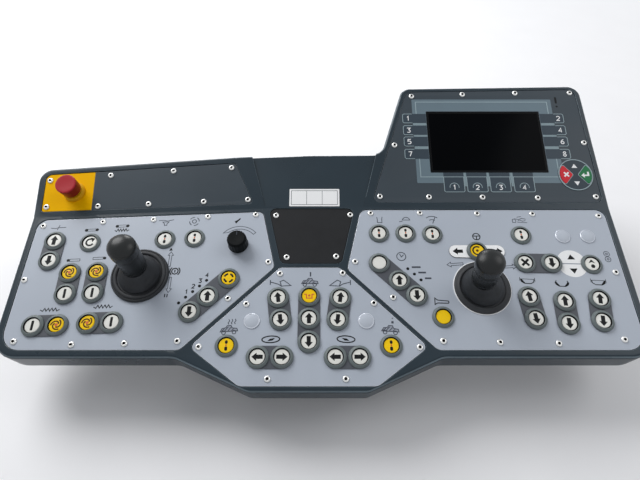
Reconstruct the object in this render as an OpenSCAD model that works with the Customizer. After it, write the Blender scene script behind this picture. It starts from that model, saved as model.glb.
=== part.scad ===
// Operator's control console of a road paver: a moulded housing that carries three button panels,
// a display, an emergency stop, a drive lever, a steering lever and a speed knob.
//
// Deck frame: X to the operator's right, Y away from the operator, Z out of the deck. Its origin
// lies on the middle axis, just in front of the middle section, in the housing's top face.
// The model's own origin is the centre of the bracket's bolt pattern, with Z straight up.

/* [Housing] */
// From the middle axis to the left edge
left_reach = 414; // [390:1:440]
// From the middle axis to the right edge
right_reach = 452; // [430:1:480]
// From the frame's origin to the crease where the raised rear section starts
crease_y = 277; // [272:1:290]
// From the frame's origin to the middle section's front edge
nose_y = 5; // [2:0.5:6]
// From the frame's origin to the side sections' front edge
side_setback = 48; // [42:1:54]
// Width of the middle section's front edge
nose_w = 152; // [130:1:165]
// From the middle axis to the bend between middle and side sections
bend_x = 174; // [168:1:184]
// Depth of the housing under the deck
deck_depth = 58; // [50:1:70]
// Thickness of the moulded side walls
wall = 4; // [3:0.5:5]
// Thickness of the moulded top face
roof_t = 8; // [7.5:0.5:10]
// Rounding of the upper edge
top_r = 5; // [3:0.5:6]
// Rounding of the lower edge
bottom_r = 22; // [16:1:26]
// Rounding of the housing's corners, seen from above
corner_r = 34; // [26:1:40]
// Width of the lip that the base pan is screwed to
lip_w = 12; // [8:1:16]

/* [Raised rear section] */
// Angle of the deck to the level
deck_tilt = 15; // [5:1:25]
// Extra angle of the rear section
hood_tilt = 9; // [6:1:14]
// Sweep of the left wing towards the operator
wing_sweep = 2.6; // [0:0.1:5]
// Length of the wing up the slope, at its left end
wing_len = 79; // [74:1:90]
// Length of the centre section up the slope
centre_len = 90; // [86:1:100]
// Length of the display section up the slope
display_len = 217; // [212:1:230]
// Depth of the whole rear section
rear_depth = 46; // [40:1:54]
// Angle by which the centre section falls off between the two ridges
valley_angle = 4; // [2:0.5:6]

/* [Panels] */
// Thickness of the panel plates
plate_t = 3; // [2:0.5:3.5]
// Depth of the recess that a plate lies in
pocket_d = 4; // [3.5:0.25:4.5]
// Gap round a plate in its recess
plate_gap = 0.5; // [0.3:0.1:1]
// Width of the ledge under a plate's edge
ledge_w = 9; // [7:0.5:12]
// Width of the rim outside the side panels
side_rim = 11; // [9:0.5:14]
// Width of the rim in front of the panels
front_rim = 11; // [9:0.5:14]
// Width of the rib between middle and side panels
seam_w = 6; // [5:0.5:8]
// Rib on each side of the centre cover
cover_rib = 10; // [8:0.5:12]
// Rib between the panels and the crease
crease_rib = 5; // [4:0.5:7]

/* [Push-buttons] */
// Outer diameter of the bezel
bezel_d = 30; // [28:0.1:30.5]
// Height of the bezel above its plate
bezel_h = 3.4; // [2.5:0.1:5]
// Diameter of the panel hole
hole_d = 22.3; // [21:0.1:23]
// Diameter of the coloured cap
cap_d = 20; // [18:0.1:20.4]
// Thickness of the dark plates under linked buttons
web_t = 1.2; // [0.8:0.1:2]
// Distance between linked buttons
pitch = 31.7; // [31:0.1:33]
// Distance between the first two buttons of a diagonal row
long_pitch = 37.5; // [34:0.1:40]

/* [Levers] */
// Diameter of the rubber flange on the panel
flange_d = 80; // [74:1:84]
// Height of the flange
flange_h = 6; // [5:0.5:8]
// Diameter of the boot where it leaves the flange
boot_d = 58; // [52:1:62]
// Height of the boot above the panel
boot_h = 30; // [26:1:34]
// Height of the drive lever above the panel
drive_h = 98; // [85:1:105]
// Height of the steering lever above the panel
steer_h = 94; // [85:1:105]
// Lean of the drive lever towards the middle, in degrees
drive_lean = 3; // [0:1:10]
// Lean of the steering lever towards the middle, in degrees
steer_lean = 8; // [0:1:10]
// Diameter of the grip's head
grip_d = 36; // [34.5:0.5:40]
// Diameter of the pivot pin
pin_d = 8; // [6:0.5:10]
// Running clearance of the pin, on the radius
pin_gap = 0.05; // [0.02:0.01:0.08]
// Depth of the pivot below the panel
pivot_d = 18; // [16:1:22]

/* [Knob and stop] */
// Diameter of the speed knob
knob_d = 29; // [26:1:32]
// Height of the speed knob
knob_h = 20; // [16:1:24]
// Diameter of the stop button's head
stop_d = 30; // [28:1:36]
// Height of the stop button's head above its plate
stop_h = 30; // [28:1:36]
// Travel of the stop button
stop_travel = 4; // [3:0.5:5]

/* [Display] */
// Width of the screen
screen_w = 183; // [170:1:188]
// Height of the screen
screen_h = 110; // [100:1:114]
// Diameter of the round key pad
nav_d = 54; // [46:1:58]

/* [Bracket] */
// Distance between the bolt holes from left to right
bolt_x = 200; // [160:5:240]
// Distance between the bolt holes from front to back
bolt_y = 100; // [80:5:120]
// Diameter of the bolt holes
bolt_d = 13; // [9:0.5:17]
// Height of the deck's pan above the bracket's foot, at the middle of the bracket
stand_h = 84; // [75:1:110]
// Thickness of the bracket's plates
bracket_t = 8; // [6:1:10]

/* [Hidden] */
$fn = 64;

// Colours
shell_colour = [0.16, 0.19, 0.22];
panel_colour = [0.62, 0.64, 0.69];
plate_colour = [0.25, 0.27, 0.30];
black = [0.06, 0.06, 0.065];
bezel_colour = [0.40, 0.45, 0.45];
steel = [0.75, 0.75, 0.76];
white = [0.92, 0.92, 0.90];
yellow = [0.95, 0.76, 0.08];

// Outlines: a corner is [x, y, radius], and corners run anticlockwise

arc_steps = 6;
function point(c) = [c[0], c[1]];
function unit(v) = v / norm(v);
function left_of(v) = [-v[1], v[0]];
function cross_z(a, b) = a[0] * b[1] - a[1] * b[0];
function turned(v, a) = [v[0] * cos(a) - v[1] * sin(a), v[0] * sin(a) + v[1] * cos(a)];
function corner_at(o, i) = point(o[(i + len(o)) % len(o)]);
function way_in(o, i) = unit(corner_at(o, i) - corner_at(o, i - 1));
function way_out(o, i) = unit(corner_at(o, i + 1) - corner_at(o, i));

// The outline moved inwards by d, with its arcs kept concentric
least_r = 1;
function inset(o, d) = [
    for (i = [0 : len(o) - 1])
        let (a = way_in(o, i), b = way_out(o, i), r = o[i][2])
        let (m = corner_at(o, i) + d * (left_of(a) + left_of(b)) / (1 + a * b))
        [m[0], m[1], cross_z(a, b) > 0 ? max(r - d, least_r) : r + d]
];

// The points of an outline, each corner an arc
function arc_at(o, i) =
    let (a = way_in(o, i), b = way_out(o, i), r = o[i][2])
    let (turn = atan2(cross_z(a, b), a * b))
    let (start = corner_at(o, i) - a * r * tan(abs(turn) / 2))
    let (centre = start + left_of(a) * r * sign(turn))
    [for (k = [0 : arc_steps]) centre + turned(start - centre, turn * k / arc_steps)];
function ring(o) = [for (i = [0 : len(o) - 1]) each arc_at(o, i)];

// Where two lines meet, each line [x, y, heading]
function meet(p, q) =
    let (a = [cos(p[2]), sin(p[2])], b = [cos(q[2]), sin(q[2])])
    let (t = cross_z([q[0] - p[0], q[1] - p[1]], b) / cross_z(a, b))
    [p[0] + a[0] * t, p[1] + a[1] * t];
function rounded(p, r) = [p[0], p[1], r];
function mirrored(o) = [for (i = [len(o) - 1 : -1 : 0]) [-o[i][0], o[i][1], o[i][2]]];

// A closed skin through copies of one outline, each step [inset, height], from the lowest up
module loft(outline, steps) {
    rings = [for (s = steps) [for (p = ring(inset(outline, s[0]))) [p[0], p[1], s[1]]]];
    m = len(rings[0]);
    last = len(rings) - 1;
    sides = [
        for (k = [0 : last - 1], i = [0 : m - 1])
            let (j = (i + 1) % m, a = k * m, b = (k + 1) * m)
            each [[a + i, b + i, b + j], [a + i, b + j, a + j]]
    ];
    floor_face = [for (i = [0 : m - 1]) i];
    top_face = [for (i = [m - 1 : -1 : 0]) last * m + i];
    polyhedron([for (r = rings) each r], concat([floor_face], sides, [top_face]), convexity = 6);
}

round_steps = 4;
function lower_round(r, z) = [
    for (k = [0 : round_steps])
        let (a = 90 * k / round_steps) [r * (1 - sin(a)), z + r * (1 - cos(a))]
];
function upper_round(r, z) = [
    for (k = [0 : round_steps])
        let (a = 90 * k / round_steps) [r * (1 - cos(a)), z - r * (1 - sin(a))]
];

module slab(outline, low, high) {
    translate([0, 0, low])
        linear_extrude(high - low)
            polygon(ring(outline));
}

// Frames
pan_t = 3;
mount_y = 185;
mount_drop = deck_depth + pan_t;
module in_deck() {
    translate([0, 0, stand_h])
        rotate([deck_tilt, 0, 0])
            translate([0, -mount_y, mount_drop])
                children();
}
module on_wing() {
    translate([0, crease_y, 0])
        rotate([0, 0, wing_sweep])
            rotate([hood_tilt, 0, 0])
                children();
}
module on_display() {
    translate([0, crease_y, 0])
        rotate([hood_tilt, 0, 0])
            children();
}

// The deck and the raised rear section
deck_back = crease_y + 26;
nose_x = nose_w / 2;
deck_outline = [
    [-nose_x, nose_y, 22], [nose_x, nose_y, 22],
    [bend_x, side_setback, 30], [right_reach, side_setback, corner_r],
    [right_reach, deck_back, 8], [-left_reach, deck_back, 8],
    [-left_reach, side_setback, corner_r], [-bend_x, side_setback, 30]
];
hood_foot = -30;
join_x = 12;
wing_outline = [
    [-left_reach, hood_foot, 2], [join_x, hood_foot, 2], [join_x, centre_len, 1],
    [-106, centre_len, 60], [-left_reach, wing_len, 20]
];
display_left = [84, 150];
display_right = [right_reach + 1, right_reach - 10];
centre_top = 91;
ridge_x = display_left[0] + (display_left[1] - display_left[0]) * centre_top / display_len;
display_outline = [
    [-join_x, hood_foot, 2], [display_right[0], hood_foot, 2],
    [display_right[1], display_len, 20], [display_left[1], display_len - 5, 18],
    [ridge_x, centre_top, 20], [-join_x, centre_top - 1, 1]
];
hood_edge_r = 4;
function deck_steps() = concat(lower_round(bottom_r, -deck_depth), upper_round(top_r, 0));
function hood_steps() = concat(lower_round(14, -rear_depth), upper_round(hood_edge_r, 0));

// The space inside: closed above by the top face, open below inside the lip
inner_r = bottom_r - wall;
function cavity_steps() = concat(
    [[inner_r + lip_w, -deck_depth - 1], [inner_r + lip_w, -deck_depth + wall]],
    lower_round(inner_r, -deck_depth + wall),
    upper_round(3, -roof_t)
);
function hood_cavity_steps() =
    concat(lower_round(10, wall - rear_depth), upper_round(3, -roof_t));

// Panel outlines
middle_top = crease_y - 100;
middle_top_x = 42;
middle_side = [bend_x - 18, side_setback + 15];
middle_low = [nose_x + 12, nose_y + front_rim - 3];
middle_outline = [
    [-middle_low[0], middle_low[1], 16], [middle_low[0], middle_low[1], 16],
    [middle_side[0], middle_side[1], 8],
    [middle_top_x, middle_top, 10], [-middle_top_x, middle_top, 10],
    [-middle_side[0], middle_side[1], 8]
];
cover_shift = 2;
cover_low = middle_top + seam_w;
cover_low_x = 43;
cover_top_x = 64;
cover_top = crease_y - 3;
cover_outline = [
    [cover_shift - cover_low_x, cover_low, 9], [cover_shift + cover_low_x, cover_low, 9],
    [cover_shift + cover_top_x, cover_top, 9], [cover_shift - cover_top_x, cover_top, 9]
];
seam_heading = atan2(middle_top - middle_side[1], middle_side[0] - middle_top_x);
cover_heading = atan2(cover_top - cover_low, cover_top_x - cover_low_x);
seam_line = [
    -middle_top_x - seam_w * sin(seam_heading), middle_top + seam_w * cos(seam_heading),
    seam_heading
];
function rib_line(shift) = [
    -cover_low_x - cover_rib / sin(cover_heading) - shift, cover_low, 180 - cover_heading
];
front_line = [0, side_setback + front_rim, 0];
left_edge_line = [-left_reach + side_rim, 0, 90];
right_edge_line = [-right_reach + side_rim, 0, 90];
wing_line = [0, crease_y - crease_rib, wing_sweep];
hood_line = [0, crease_y - crease_rib, 0];
left_outline = [
    rounded(meet(left_edge_line, front_line), 26),
    rounded(meet(front_line, seam_line), 14),
    rounded(meet(seam_line, rib_line(-cover_shift)), 10),
    rounded(meet(rib_line(-cover_shift), wing_line), 9),
    rounded(meet(wing_line, left_edge_line), 16)
];
right_outline = mirrored([
    rounded(meet(right_edge_line, front_line), 26),
    rounded(meet(front_line, seam_line), 14),
    rounded(meet(seam_line, rib_line(cover_shift)), 10),
    rounded(meet(rib_line(cover_shift), hood_line), 12),
    rounded(meet(hood_line, right_edge_line), 14)
]);
wing_rim = 9;
stop_plate_w = 74;
wing_plate_x = [-left_reach + side_rim, -92];
wing_plate_outline = [
    [wing_plate_x[0] + stop_plate_w, wing_rim, 1], [wing_plate_x[1] + 6, wing_rim, 5],
    [wing_plate_x[1] - 22, centre_len - wing_rim - 2, 5],
    [wing_plate_x[0] + stop_plate_w, wing_len - wing_rim + 2, 1]
];
stop_plate_outline = [
    [wing_plate_x[0], wing_rim, 4], [wing_plate_x[0] + stop_plate_w, wing_rim, 1],
    [wing_plate_x[0] + stop_plate_w, wing_len - wing_rim + 2, 1],
    [wing_plate_x[0], wing_len - wing_rim, 9]
];
wing_pocket_outline = [
    [wing_plate_x[0], wing_rim, 4], [wing_plate_x[1] + 6, wing_rim, 5],
    [wing_plate_x[1] - 22, centre_len - wing_rim - 2, 5],
    [wing_plate_x[0], wing_len - wing_rim, 9]
];
display_plate_outline = [
    [display_left[0] + 10, 8, 9], [display_right[0] - 10, 8, 9],
    [display_right[1] - 9, display_len - 7, 14], [display_left[1] + 7, display_len - 12, 12]
];

// The centre section falls off between two ridges, which run out at the crease
valley_outline = [
    [-68, 0, 1], [display_left[0] - 4, 0, 1], [ridge_x - 4, 110, 1], [-98, 110, 1]
];

// A recess with rounded corners, open upwards; its outline has no inward corner
module pocket(outline, low) {
    hull()
        for (i = [0 : len(outline) - 1])
            let (a = way_in(outline, i), b = way_out(outline, i), r = outline[i][2])
            let (c = corner_at(outline, i) + r * (left_of(a) + left_of(b)) / (1 + a * b))
                translate([c[0], c[1], low]) cylinder(h = 10 - low, r = r, $fn = 32);
}

module housing() {
    color(shell_colour) in_deck() difference() {
        union() {
            loft(deck_outline, deck_steps());
            on_wing() loft(wing_outline, hood_steps());
            on_display() loft(display_outline, hood_steps());
        }
        loft(inset(deck_outline, wall), cavity_steps());
        on_wing() loft(inset(wing_outline, wall), hood_cavity_steps());
        on_display() loft(inset(display_outline, wall), hood_cavity_steps());
        translate([0, crease_y, 0]) rotate([hood_tilt - valley_angle, 0, 0])
            slab(valley_outline, 0, 20);
        for (o = [left_outline, middle_outline, right_outline]) {
            pocket(inset(o, -plate_gap), -pocket_d);
            pocket(inset(o, ledge_w), -roof_t - 1);
        }
        pocket(inset(cover_outline, -plate_gap), -pocket_d);
        on_wing() pocket(inset(wing_pocket_outline, -plate_gap), -pocket_d);
        on_wing() translate([stop_at[0], stop_at[1], -roof_t - 1])
            cylinder(h = roof_t + 2, d = stop_hole_d);
        on_display() pocket(inset(display_plate_outline, -plate_gap), -pocket_d);
    }
}

// The pan closes the housing from below and is screwed to the lip
pan_gap = 4;
pan_outline = inset(deck_outline, bottom_r + pan_gap);
module base_pan() {
    color(black) in_deck() slab(pan_outline, -deck_depth - pan_t, -deck_depth);
}

// The bracket: a foot with four bolt holes, two side plates and a head under the pan
foot_rim = 20;
head_rim = 12;
cheek_inset = 26;
foot_x = bolt_x + 2 * foot_rim;
foot_y = bolt_y + 2 * foot_rim;
head_y = foot_y + 2 * head_rim;
cheek_x = bolt_x / 2 - cheek_inset;
function rectangle(x, y, r) = [
    [-x / 2, -y / 2, r], [x / 2, -y / 2, r], [x / 2, y / 2, r], [-x / 2, y / 2, r]
];
module bracket() {
    color([0.22, 0.24, 0.26]) difference() {
        union() {
            slab(rectangle(foot_x, foot_y, 14), 0, bracket_t);
            translate([0, 0, stand_h]) rotate([deck_tilt, 0, 0])
                slab(rectangle(foot_x, head_y, 14), -bracket_t, 0);
            for (side = [-1, 1])
                translate([side * cheek_x - bracket_t / 2, 0, 0]) rotate([90, 0, 90])
                    linear_extrude(bracket_t) polygon([
                        [-foot_y / 2 + 8, bracket_t / 2], [foot_y / 2 - 8, bracket_t / 2],
                        cheek_top(head_y / 2 - 8), cheek_top(8 - head_y / 2)
                    ]);
        }
        for (x = [-1, 1], y = [-1, 1])
            translate([x * bolt_x / 2, y * bolt_y / 2, -1]) cylinder(h = bracket_t + 2, d = bolt_d);
    }
}
function cheek_top(s) = [
    s * cos(deck_tilt) + bracket_t / 2 * sin(deck_tilt),
    stand_h + s * sin(deck_tilt) - bracket_t / 2 * cos(deck_tilt)
];

// Gland for the harness, in the pan
gland_at = [-150, crease_y - 42];
gland_d = 48;
gland_h = 24;
gland_bore = 22;
module cable_gland() {
    color(black) in_deck() translate([gland_at[0], gland_at[1], -deck_depth - pan_t])
        rotate([180, 0, 0]) difference() {
            rotate_extrude() polygon([
                [0, 0], [gland_d / 2, 0], [gland_d / 2, gland_h * 0.2], [gland_d * 0.4, gland_h * 0.2],
                [gland_d * 0.4, gland_h * 0.75], [gland_d / 3, gland_h], [0, gland_h]
            ]);
            translate([0, 0, gland_h / 6]) cylinder(h = gland_h, d = gland_bore);
        }
}

// Push-buttons: rows of [x, y, heading, distances along the row, caps]
// x is a share of the section's reach, y a share of crease_y; caps are "w" white or "y" yellow
function placed(rows, reach) =
    [for (r = rows) [r[0] * reach, r[1] * crease_y, r[2], r[3], r[4]]];
left_rows = placed([
    [-0.8937, 0.7888, -90, [0, pitch], "ww"],
    [-0.7693, 0.7798, 0, [0], "w"],
    [-0.8116, 0.6065, -88, [0, pitch], "yw"],
    [-0.7210, 0.6119, -88, [0, pitch], "yw"],
    [-0.8853, 0.3285, 2, [0, pitch], "wy"],
    [-0.7114, 0.3430, 2, [0, pitch], "yw"],
    [-0.5097, 0.7996, 0, [0], "w"],
    [-0.4058, 0.8069, 0, [0], "w"],
    [-0.2717, 0.5758, -135, [0, long_pitch, long_pitch + pitch], "yww"]
], left_reach);
middle_rows = placed([
    [-0.2448, 0.4729, -82, [0, pitch], "ww"],
    [0.2448, 0.4729, -98, [0, pitch], "ww"],
    [0, 0.4801, -90, [0, pitch, 2 * pitch], "yww"],
    [-0.6178, 0.2329, 0, [0], "y"],
    [0.6178, 0.2329, 0, [0], "y"],
    [-0.3793, 0.1787, 0, [0, pitch], "ww"],
    [0.3793, 0.1787, 180, [0, pitch], "ww"]
], bend_x);
right_rows = placed([
    [0.2235, 0.8357, 0, [0], "w"],
    [0.3097, 0.8357, 0, [0], "w"],
    [0.3960, 0.8303, 0, [0], "w"],
    [0.6825, 0.8249, 0, [0], "w"],
    [0.2179, 0.6606, -45, [0, long_pitch, long_pitch + pitch], "www"],
    [0.3982, 0.3736, 0, [0], "y"],
    [0.6748, 0.6625, -1, [0, long_pitch], "ww"],
    [0.8838, 0.6552, 0, [0], "w"],
    [0.6648, 0.4783, -85, [0, pitch], "ww"],
    [0.7688, 0.4549, -93, [0, pitch], "ww"],
    [0.8761, 0.4657, -98, [0, pitch], "ww"]
], right_reach);
steering_row = placed([[0.5310, 0.7292, 0, [0], "y"]], right_reach)[0];
plate_top = plate_t - pocket_d;
function button_at(row, k) =
    [row[0] + row[3][k] * cos(row[2]), row[1] + row[3][k] * sin(row[2])];
function linked(row) = len(row[3]) > 1;
module at_buttons(rows, cap = "any") {
    for (row = rows, k = [0 : len(row[3]) - 1])
        if (cap == "any" || row[4][k] == cap)
            translate([button_at(row, k)[0], button_at(row, k)[1],
                       plate_top + (linked(row) ? web_t : 0)])
                children();
}
module holes(rows) {
    at_buttons(rows) translate([0, 0, -plate_t - web_t - 1])
        cylinder(h = plate_t + 2 * web_t + 2, d = hole_d);
}

cap_gap = 0.3;
barrel_d = hole_d - 0.3;
barrel_len = 6 + plate_t;
cap_ledge = 1;
cap_t = 1.6;
module bezel() {
    rotate_extrude() polygon([
        [cap_d / 2 - 2, -barrel_len], [barrel_d / 2, -barrel_len], [barrel_d / 2, 0],
        [bezel_d / 2, 0], [bezel_d / 2, bezel_h * 0.45], [bezel_d / 2 - 1.6, bezel_h],
        [cap_d / 2 + 1.6, bezel_h], [cap_d / 2 + cap_gap, bezel_h - 1],
        [cap_d / 2 + cap_gap, cap_ledge], [cap_d / 2 - 2, cap_ledge]
    ]);
}
module cap() {
    translate([0, 0, cap_ledge]) rotate_extrude() polygon([
        [0, 0], [cap_d / 2, 0], [cap_d / 2, cap_t - 0.5], [cap_d / 2 - 0.5, cap_t], [0, cap_t]
    ]);
}
function row_outline(row) =
    let (r = bezel_d / 2, d = [cos(row[2]), sin(row[2])], s = left_of(d) * r)
    let (a = [row[0], row[1]] - d * r, b = button_at(row, len(row[3]) - 1) + d * r)
    [for (p = [a - s, b - s, b + s, a + s]) rounded(p, r - 0.05)];
module webs(rows) {
    color([0.33, 0.35, 0.40]) in_deck() difference() {
        for (row = rows) if (linked(row)) slab(row_outline(row), plate_top, plate_top + web_t);
        holes([for (row = rows) if (linked(row)) row]);
    }
}
module bezels(rows) { color(bezel_colour) in_deck() at_buttons(rows) bezel(); }
module caps(rows, cap, colour) { color(colour) in_deck() at_buttons(rows, cap) cap(); }

// Panels
module left_panel() {
    color(panel_colour) in_deck() difference() {
        slab(left_outline, -pocket_d, plate_top);
        holes(left_rows);
        lever_hole(drive_at);
        translate([knob_at[0], knob_at[1], -pocket_d - 1]) cylinder(h = plate_t + 2, d = bush_d);
    }
}
module middle_panel() {
    color(panel_colour) in_deck() difference() {
        slab(middle_outline, -pocket_d, plate_top);
        holes(middle_rows);
        plug_holes(middle_plugs);
    }
}
module right_panel() {
    color(panel_colour) in_deck() difference() {
        slab(right_outline, -pocket_d, plate_top);
        holes(right_rows);
        holes([steering_row]);
        lever_hole(steer_at);
        plug_holes(right_plugs);
    }
}
module centre_cover() {
    color(black) in_deck() slab(cover_outline, -pocket_d, plate_top);
}
module wing_plate() {
    color(plate_colour) in_deck() on_wing()
        slab(wing_plate_outline, -pocket_d, plate_top);
}
module stop_plate() {
    color(yellow) in_deck() on_wing() difference() {
        slab(stop_plate_outline, -pocket_d, plate_top);
        translate([stop_at[0], stop_at[1], -pocket_d - 1]) cylinder(h = plate_t + 2, d = hole_d);
    }
}

// Blank plugs close the holes of functions that the machine hasn't got: [x, y], as shares too
middle_plugs = [for (x = [-0.4397, 0.4397]) [x * bend_x, 0.3538 * crease_y]];
right_plugs = [for (x = [0.8164, 0.8971]) [x * right_reach, 0.8177 * crease_y]];
plug_d = 22;
plug_hole_d = 16.2;
module plug_holes(places) {
    for (p = places) translate([p[0], p[1], -pocket_d - 1]) cylinder(h = plate_t + 2, d = plug_hole_d);
}
module blank_plugs() {
    color(panel_colour) in_deck() for (p = concat(middle_plugs, right_plugs))
        translate([p[0], p[1], plate_top]) rotate_extrude() polygon([
            [0, -plate_t - 2], [plug_hole_d / 2 - 0.1, -plate_t - 2], [plug_hole_d / 2 - 0.1, 0],
            [plug_d / 2, 0], [plug_d / 2 - 1, 1.4], [plug_d / 4, 2.2], [0, 2.4]
        ]);
}

// White plate under the steering button
steering_plate_size = [80, 20];
module steering_plate() {
    color(white) in_deck() difference() {
        translate([steering_row[0], steering_row[1], 0]) slab(
            rectangle(steering_plate_size[0], steering_plate_size[1], steering_plate_size[1] / 2 - 0.1),
            plate_top, plate_top + web_t
        );
        holes([steering_row]);
    }
}
module steering_button() {
    translate([steering_row[0], steering_row[1], plate_top + web_t]) children();
}

// Display
screen_left = display_left[1] - 5;
screen_right = display_right[0] - 18;
screen_share = 0.4586;
screen_at = [screen_left + screen_share * (screen_right - screen_left), display_len - 104];
screen_gap = 0.3;
screen_step = 0.4;
module screen_block(gap, low, high) {
    translate([screen_at[0], screen_at[1], (low + high) / 2])
        cube([screen_w - 2 * gap, screen_h - 2 * gap, high - low], center = true);
}
module display_plate() {
    color(plate_colour) in_deck() on_display() difference() {
        slab(display_plate_outline, -pocket_d, plate_top);
        screen_block(0, -pocket_d - 1, plate_top + 1);
    }
}
module display_screen() {
    color(black) in_deck() on_display()
        screen_block(screen_gap, -pocket_d, plate_top - screen_step);
}
nav_at = [display_right[0] - 43, 54];
nav_t = 0.8;
key_t = 0.8;
module nav_pad() {
    color(plate_colour) in_deck() on_display() translate([nav_at[0], nav_at[1], plate_top])
        cylinder(h = nav_t, d = nav_d);
}
key_inset = 2;
module nav_key(side, colour) {
    color(colour) in_deck() on_display() translate([nav_at[0], nav_at[1], plate_top + nav_t])
        intersection() {
            cylinder(h = key_t, d = nav_d - 2 * key_inset);
            translate([side * nav_d * 0.52, 0, 0]) cylinder(h = key_t, d = nav_d * 0.8);
        }
}

// Levers: a rubber flange with a cup below it carries the pivot pin, a boot closes the gap
drive_at = [-0.57246 * left_reach, 0.59206 * crease_y];
steer_at = [0.52876 * right_reach, 0.52708 * crease_y];
cup_d = 56;
cup_wall = 3;
cup_depth = pivot_d + pin_d / 2 + 5;
module lever_hole(at) {
    translate([at[0], at[1], -pocket_d - 1]) cylinder(h = plate_t + 2, d = cup_d + 0.6);
}
// In a lever's own frame X points to the middle of the console, which is where the lever leans.
// Its pin turns in the cup, with the heading given.
drive_pin_heading = 0;
steer_pin_heading = 90;
module pin_along(heading, length, d) {
    translate([0, 0, -pivot_d]) rotate([0, 0, heading]) rotate([0, 90, 0])
        translate([0, 0, -length / 2]) cylinder(h = length, d = d);
}
module leaning(lean) {
    translate([0, 0, -pivot_d]) rotate([0, lean, 0]) translate([0, 0, pivot_d]) children();
}
module lever_base(pin_heading) {
    difference() {
        rotate_extrude() polygon([
            [cup_d / 2 - cup_wall, -cup_depth], [cup_d / 2, -cup_depth], [cup_d / 2, 0],
            [flange_d / 2, 0], [flange_d / 2, 2], [flange_d / 2 - 3, flange_h - 1],
            [flange_d / 2 - 6, flange_h], [boot_d / 2 + 3, flange_h],
            [boot_d / 2 + 1.5, boot_seat], [cup_d / 2 - cup_wall, boot_seat]
        ]);
        pin_along(pin_heading, 2 * cup_d, pin_d + 2 * pin_gap);
    }
}
stem_d = 12;
hub_d = 18;
hub_w = 18;
grip_top_t = 20;
module lever_stem(height, lean, pin_heading) {
    pin_along(pin_heading, cup_d, pin_d);
    pin_along(pin_heading, hub_w, hub_d);
    leaning(lean) translate([0, 0, -pivot_d]) cylinder(h = pivot_d + height - grip_top_t, d = stem_d);
}
neck_d = 33.5;
boot_top_d = neck_d - 1;
boot_gap = 0.3;
boot_stem_gap = 0.8;
boot_seat = flange_h - 2;
boot_foot = boot_seat + boot_gap;
boot_t = 2;
// Sections of the boot from its foot to its top: [height, diameter]
boot_outside = [
    [boot_foot, boot_d], [flange_h, boot_d], [flange_h + 6, boot_d - 6],
    [boot_h - 4, boot_top_d + 7], [boot_h, boot_top_d]
];
boot_inside = [
    [boot_foot - 1, boot_d - 8], [flange_h, boot_d - 8], [flange_h + 5, boot_d - 11],
    [boot_h - 6, boot_top_d + 3], [boot_h - boot_t, boot_top_d - 2]
];
// The boot's top lies round the leaning stem, and its foot stays in the flange
function boot_shift(lean, z) =
    tan(lean) * (boot_h + pivot_d) * max(z - boot_foot, 0) / (boot_h - boot_foot);
module boot_disc(lean, section) {
    translate([boot_shift(lean, section[0]), 0, section[0]])
        cylinder(h = 0.01, d = section[1], $fn = 48);
}
module boot_skin(lean, sections) {
    for (k = [0 : len(sections) - 2])
        hull() {
            boot_disc(lean, sections[k]);
            boot_disc(lean, sections[k + 1]);
        }
}
module lever_boot(lean) {
    difference() {
        boot_skin(lean, boot_outside);
        boot_skin(lean, boot_inside);
        translate([boot_shift(lean, boot_h), 0, boot_h - boot_t - 1])
            cylinder(h = boot_t + 2, d = stem_d + 2 * boot_stem_gap, $fn = 48);
    }
}
// The grip's foot stays clear of the boot where it dips lowest
function grip_foot(lean) =
    (boot_h + boot_gap + pivot_d + neck_d / 2 * sin(lean)) / cos(lean) - pivot_d;
module lever_grip(height, lean) {
    r = grip_d / 2;
    foot = grip_foot(lean);
    leaning(lean) difference() {
        rotate_extrude() polygon(concat(
            [[0, foot], [neck_d / 2 - 1.5, foot], [neck_d / 2, foot + 1.5],
             [r - 1.2, height - r * 1.5], [r, height - r * 1.3]],
            [for (a = [0 : 10 : 90]) [r * cos(a), height - r * 0.6 + r * 0.6 * sin(a)]]
        ));
        translate([0, 0, foot - 1]) cylinder(h = height - grip_top_t - foot + 1, d = stem_d);
    }
}
module at_drive() {
    in_deck() translate([drive_at[0], drive_at[1], plate_top]) children();
}
module at_steer() {
    in_deck() translate([steer_at[0], steer_at[1], plate_top]) rotate([0, 0, 180]) children();
}

// Speed knob with its bush and spindle
knob_at = [-0.24879 * left_reach, 0.76534 * crease_y];
bush_d = 12;
spindle_d = 6;
bush_h = 3;
module knob_bush() {
    color(steel) in_deck() translate([knob_at[0], knob_at[1], plate_top]) difference() {
        union() {
            translate([0, 0, -plate_t - 6]) cylinder(h = plate_t + 6, d = bush_d - 0.3);
            cylinder(h = bush_h, d = 18);
        }
        translate([0, 0, -plate_t - 7]) cylinder(h = plate_t + bush_h + 8, d = spindle_d + 0.1);
    }
}
module speed_knob() {
    color(black) in_deck() translate([knob_at[0], knob_at[1], plate_top]) {
        translate([0, 0, bush_h + 0.3]) rotate_extrude() polygon([
            [0, 0], [knob_d / 2, 0], [knob_d / 2 - 1, knob_h - 2], [knob_d / 2 - 3, knob_h], [0, knob_h]
        ]);
        translate([0, 0, -plate_t - 4]) cylinder(h = plate_t + 4 + bush_h + 1, d = spindle_d);
    }
}

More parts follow.
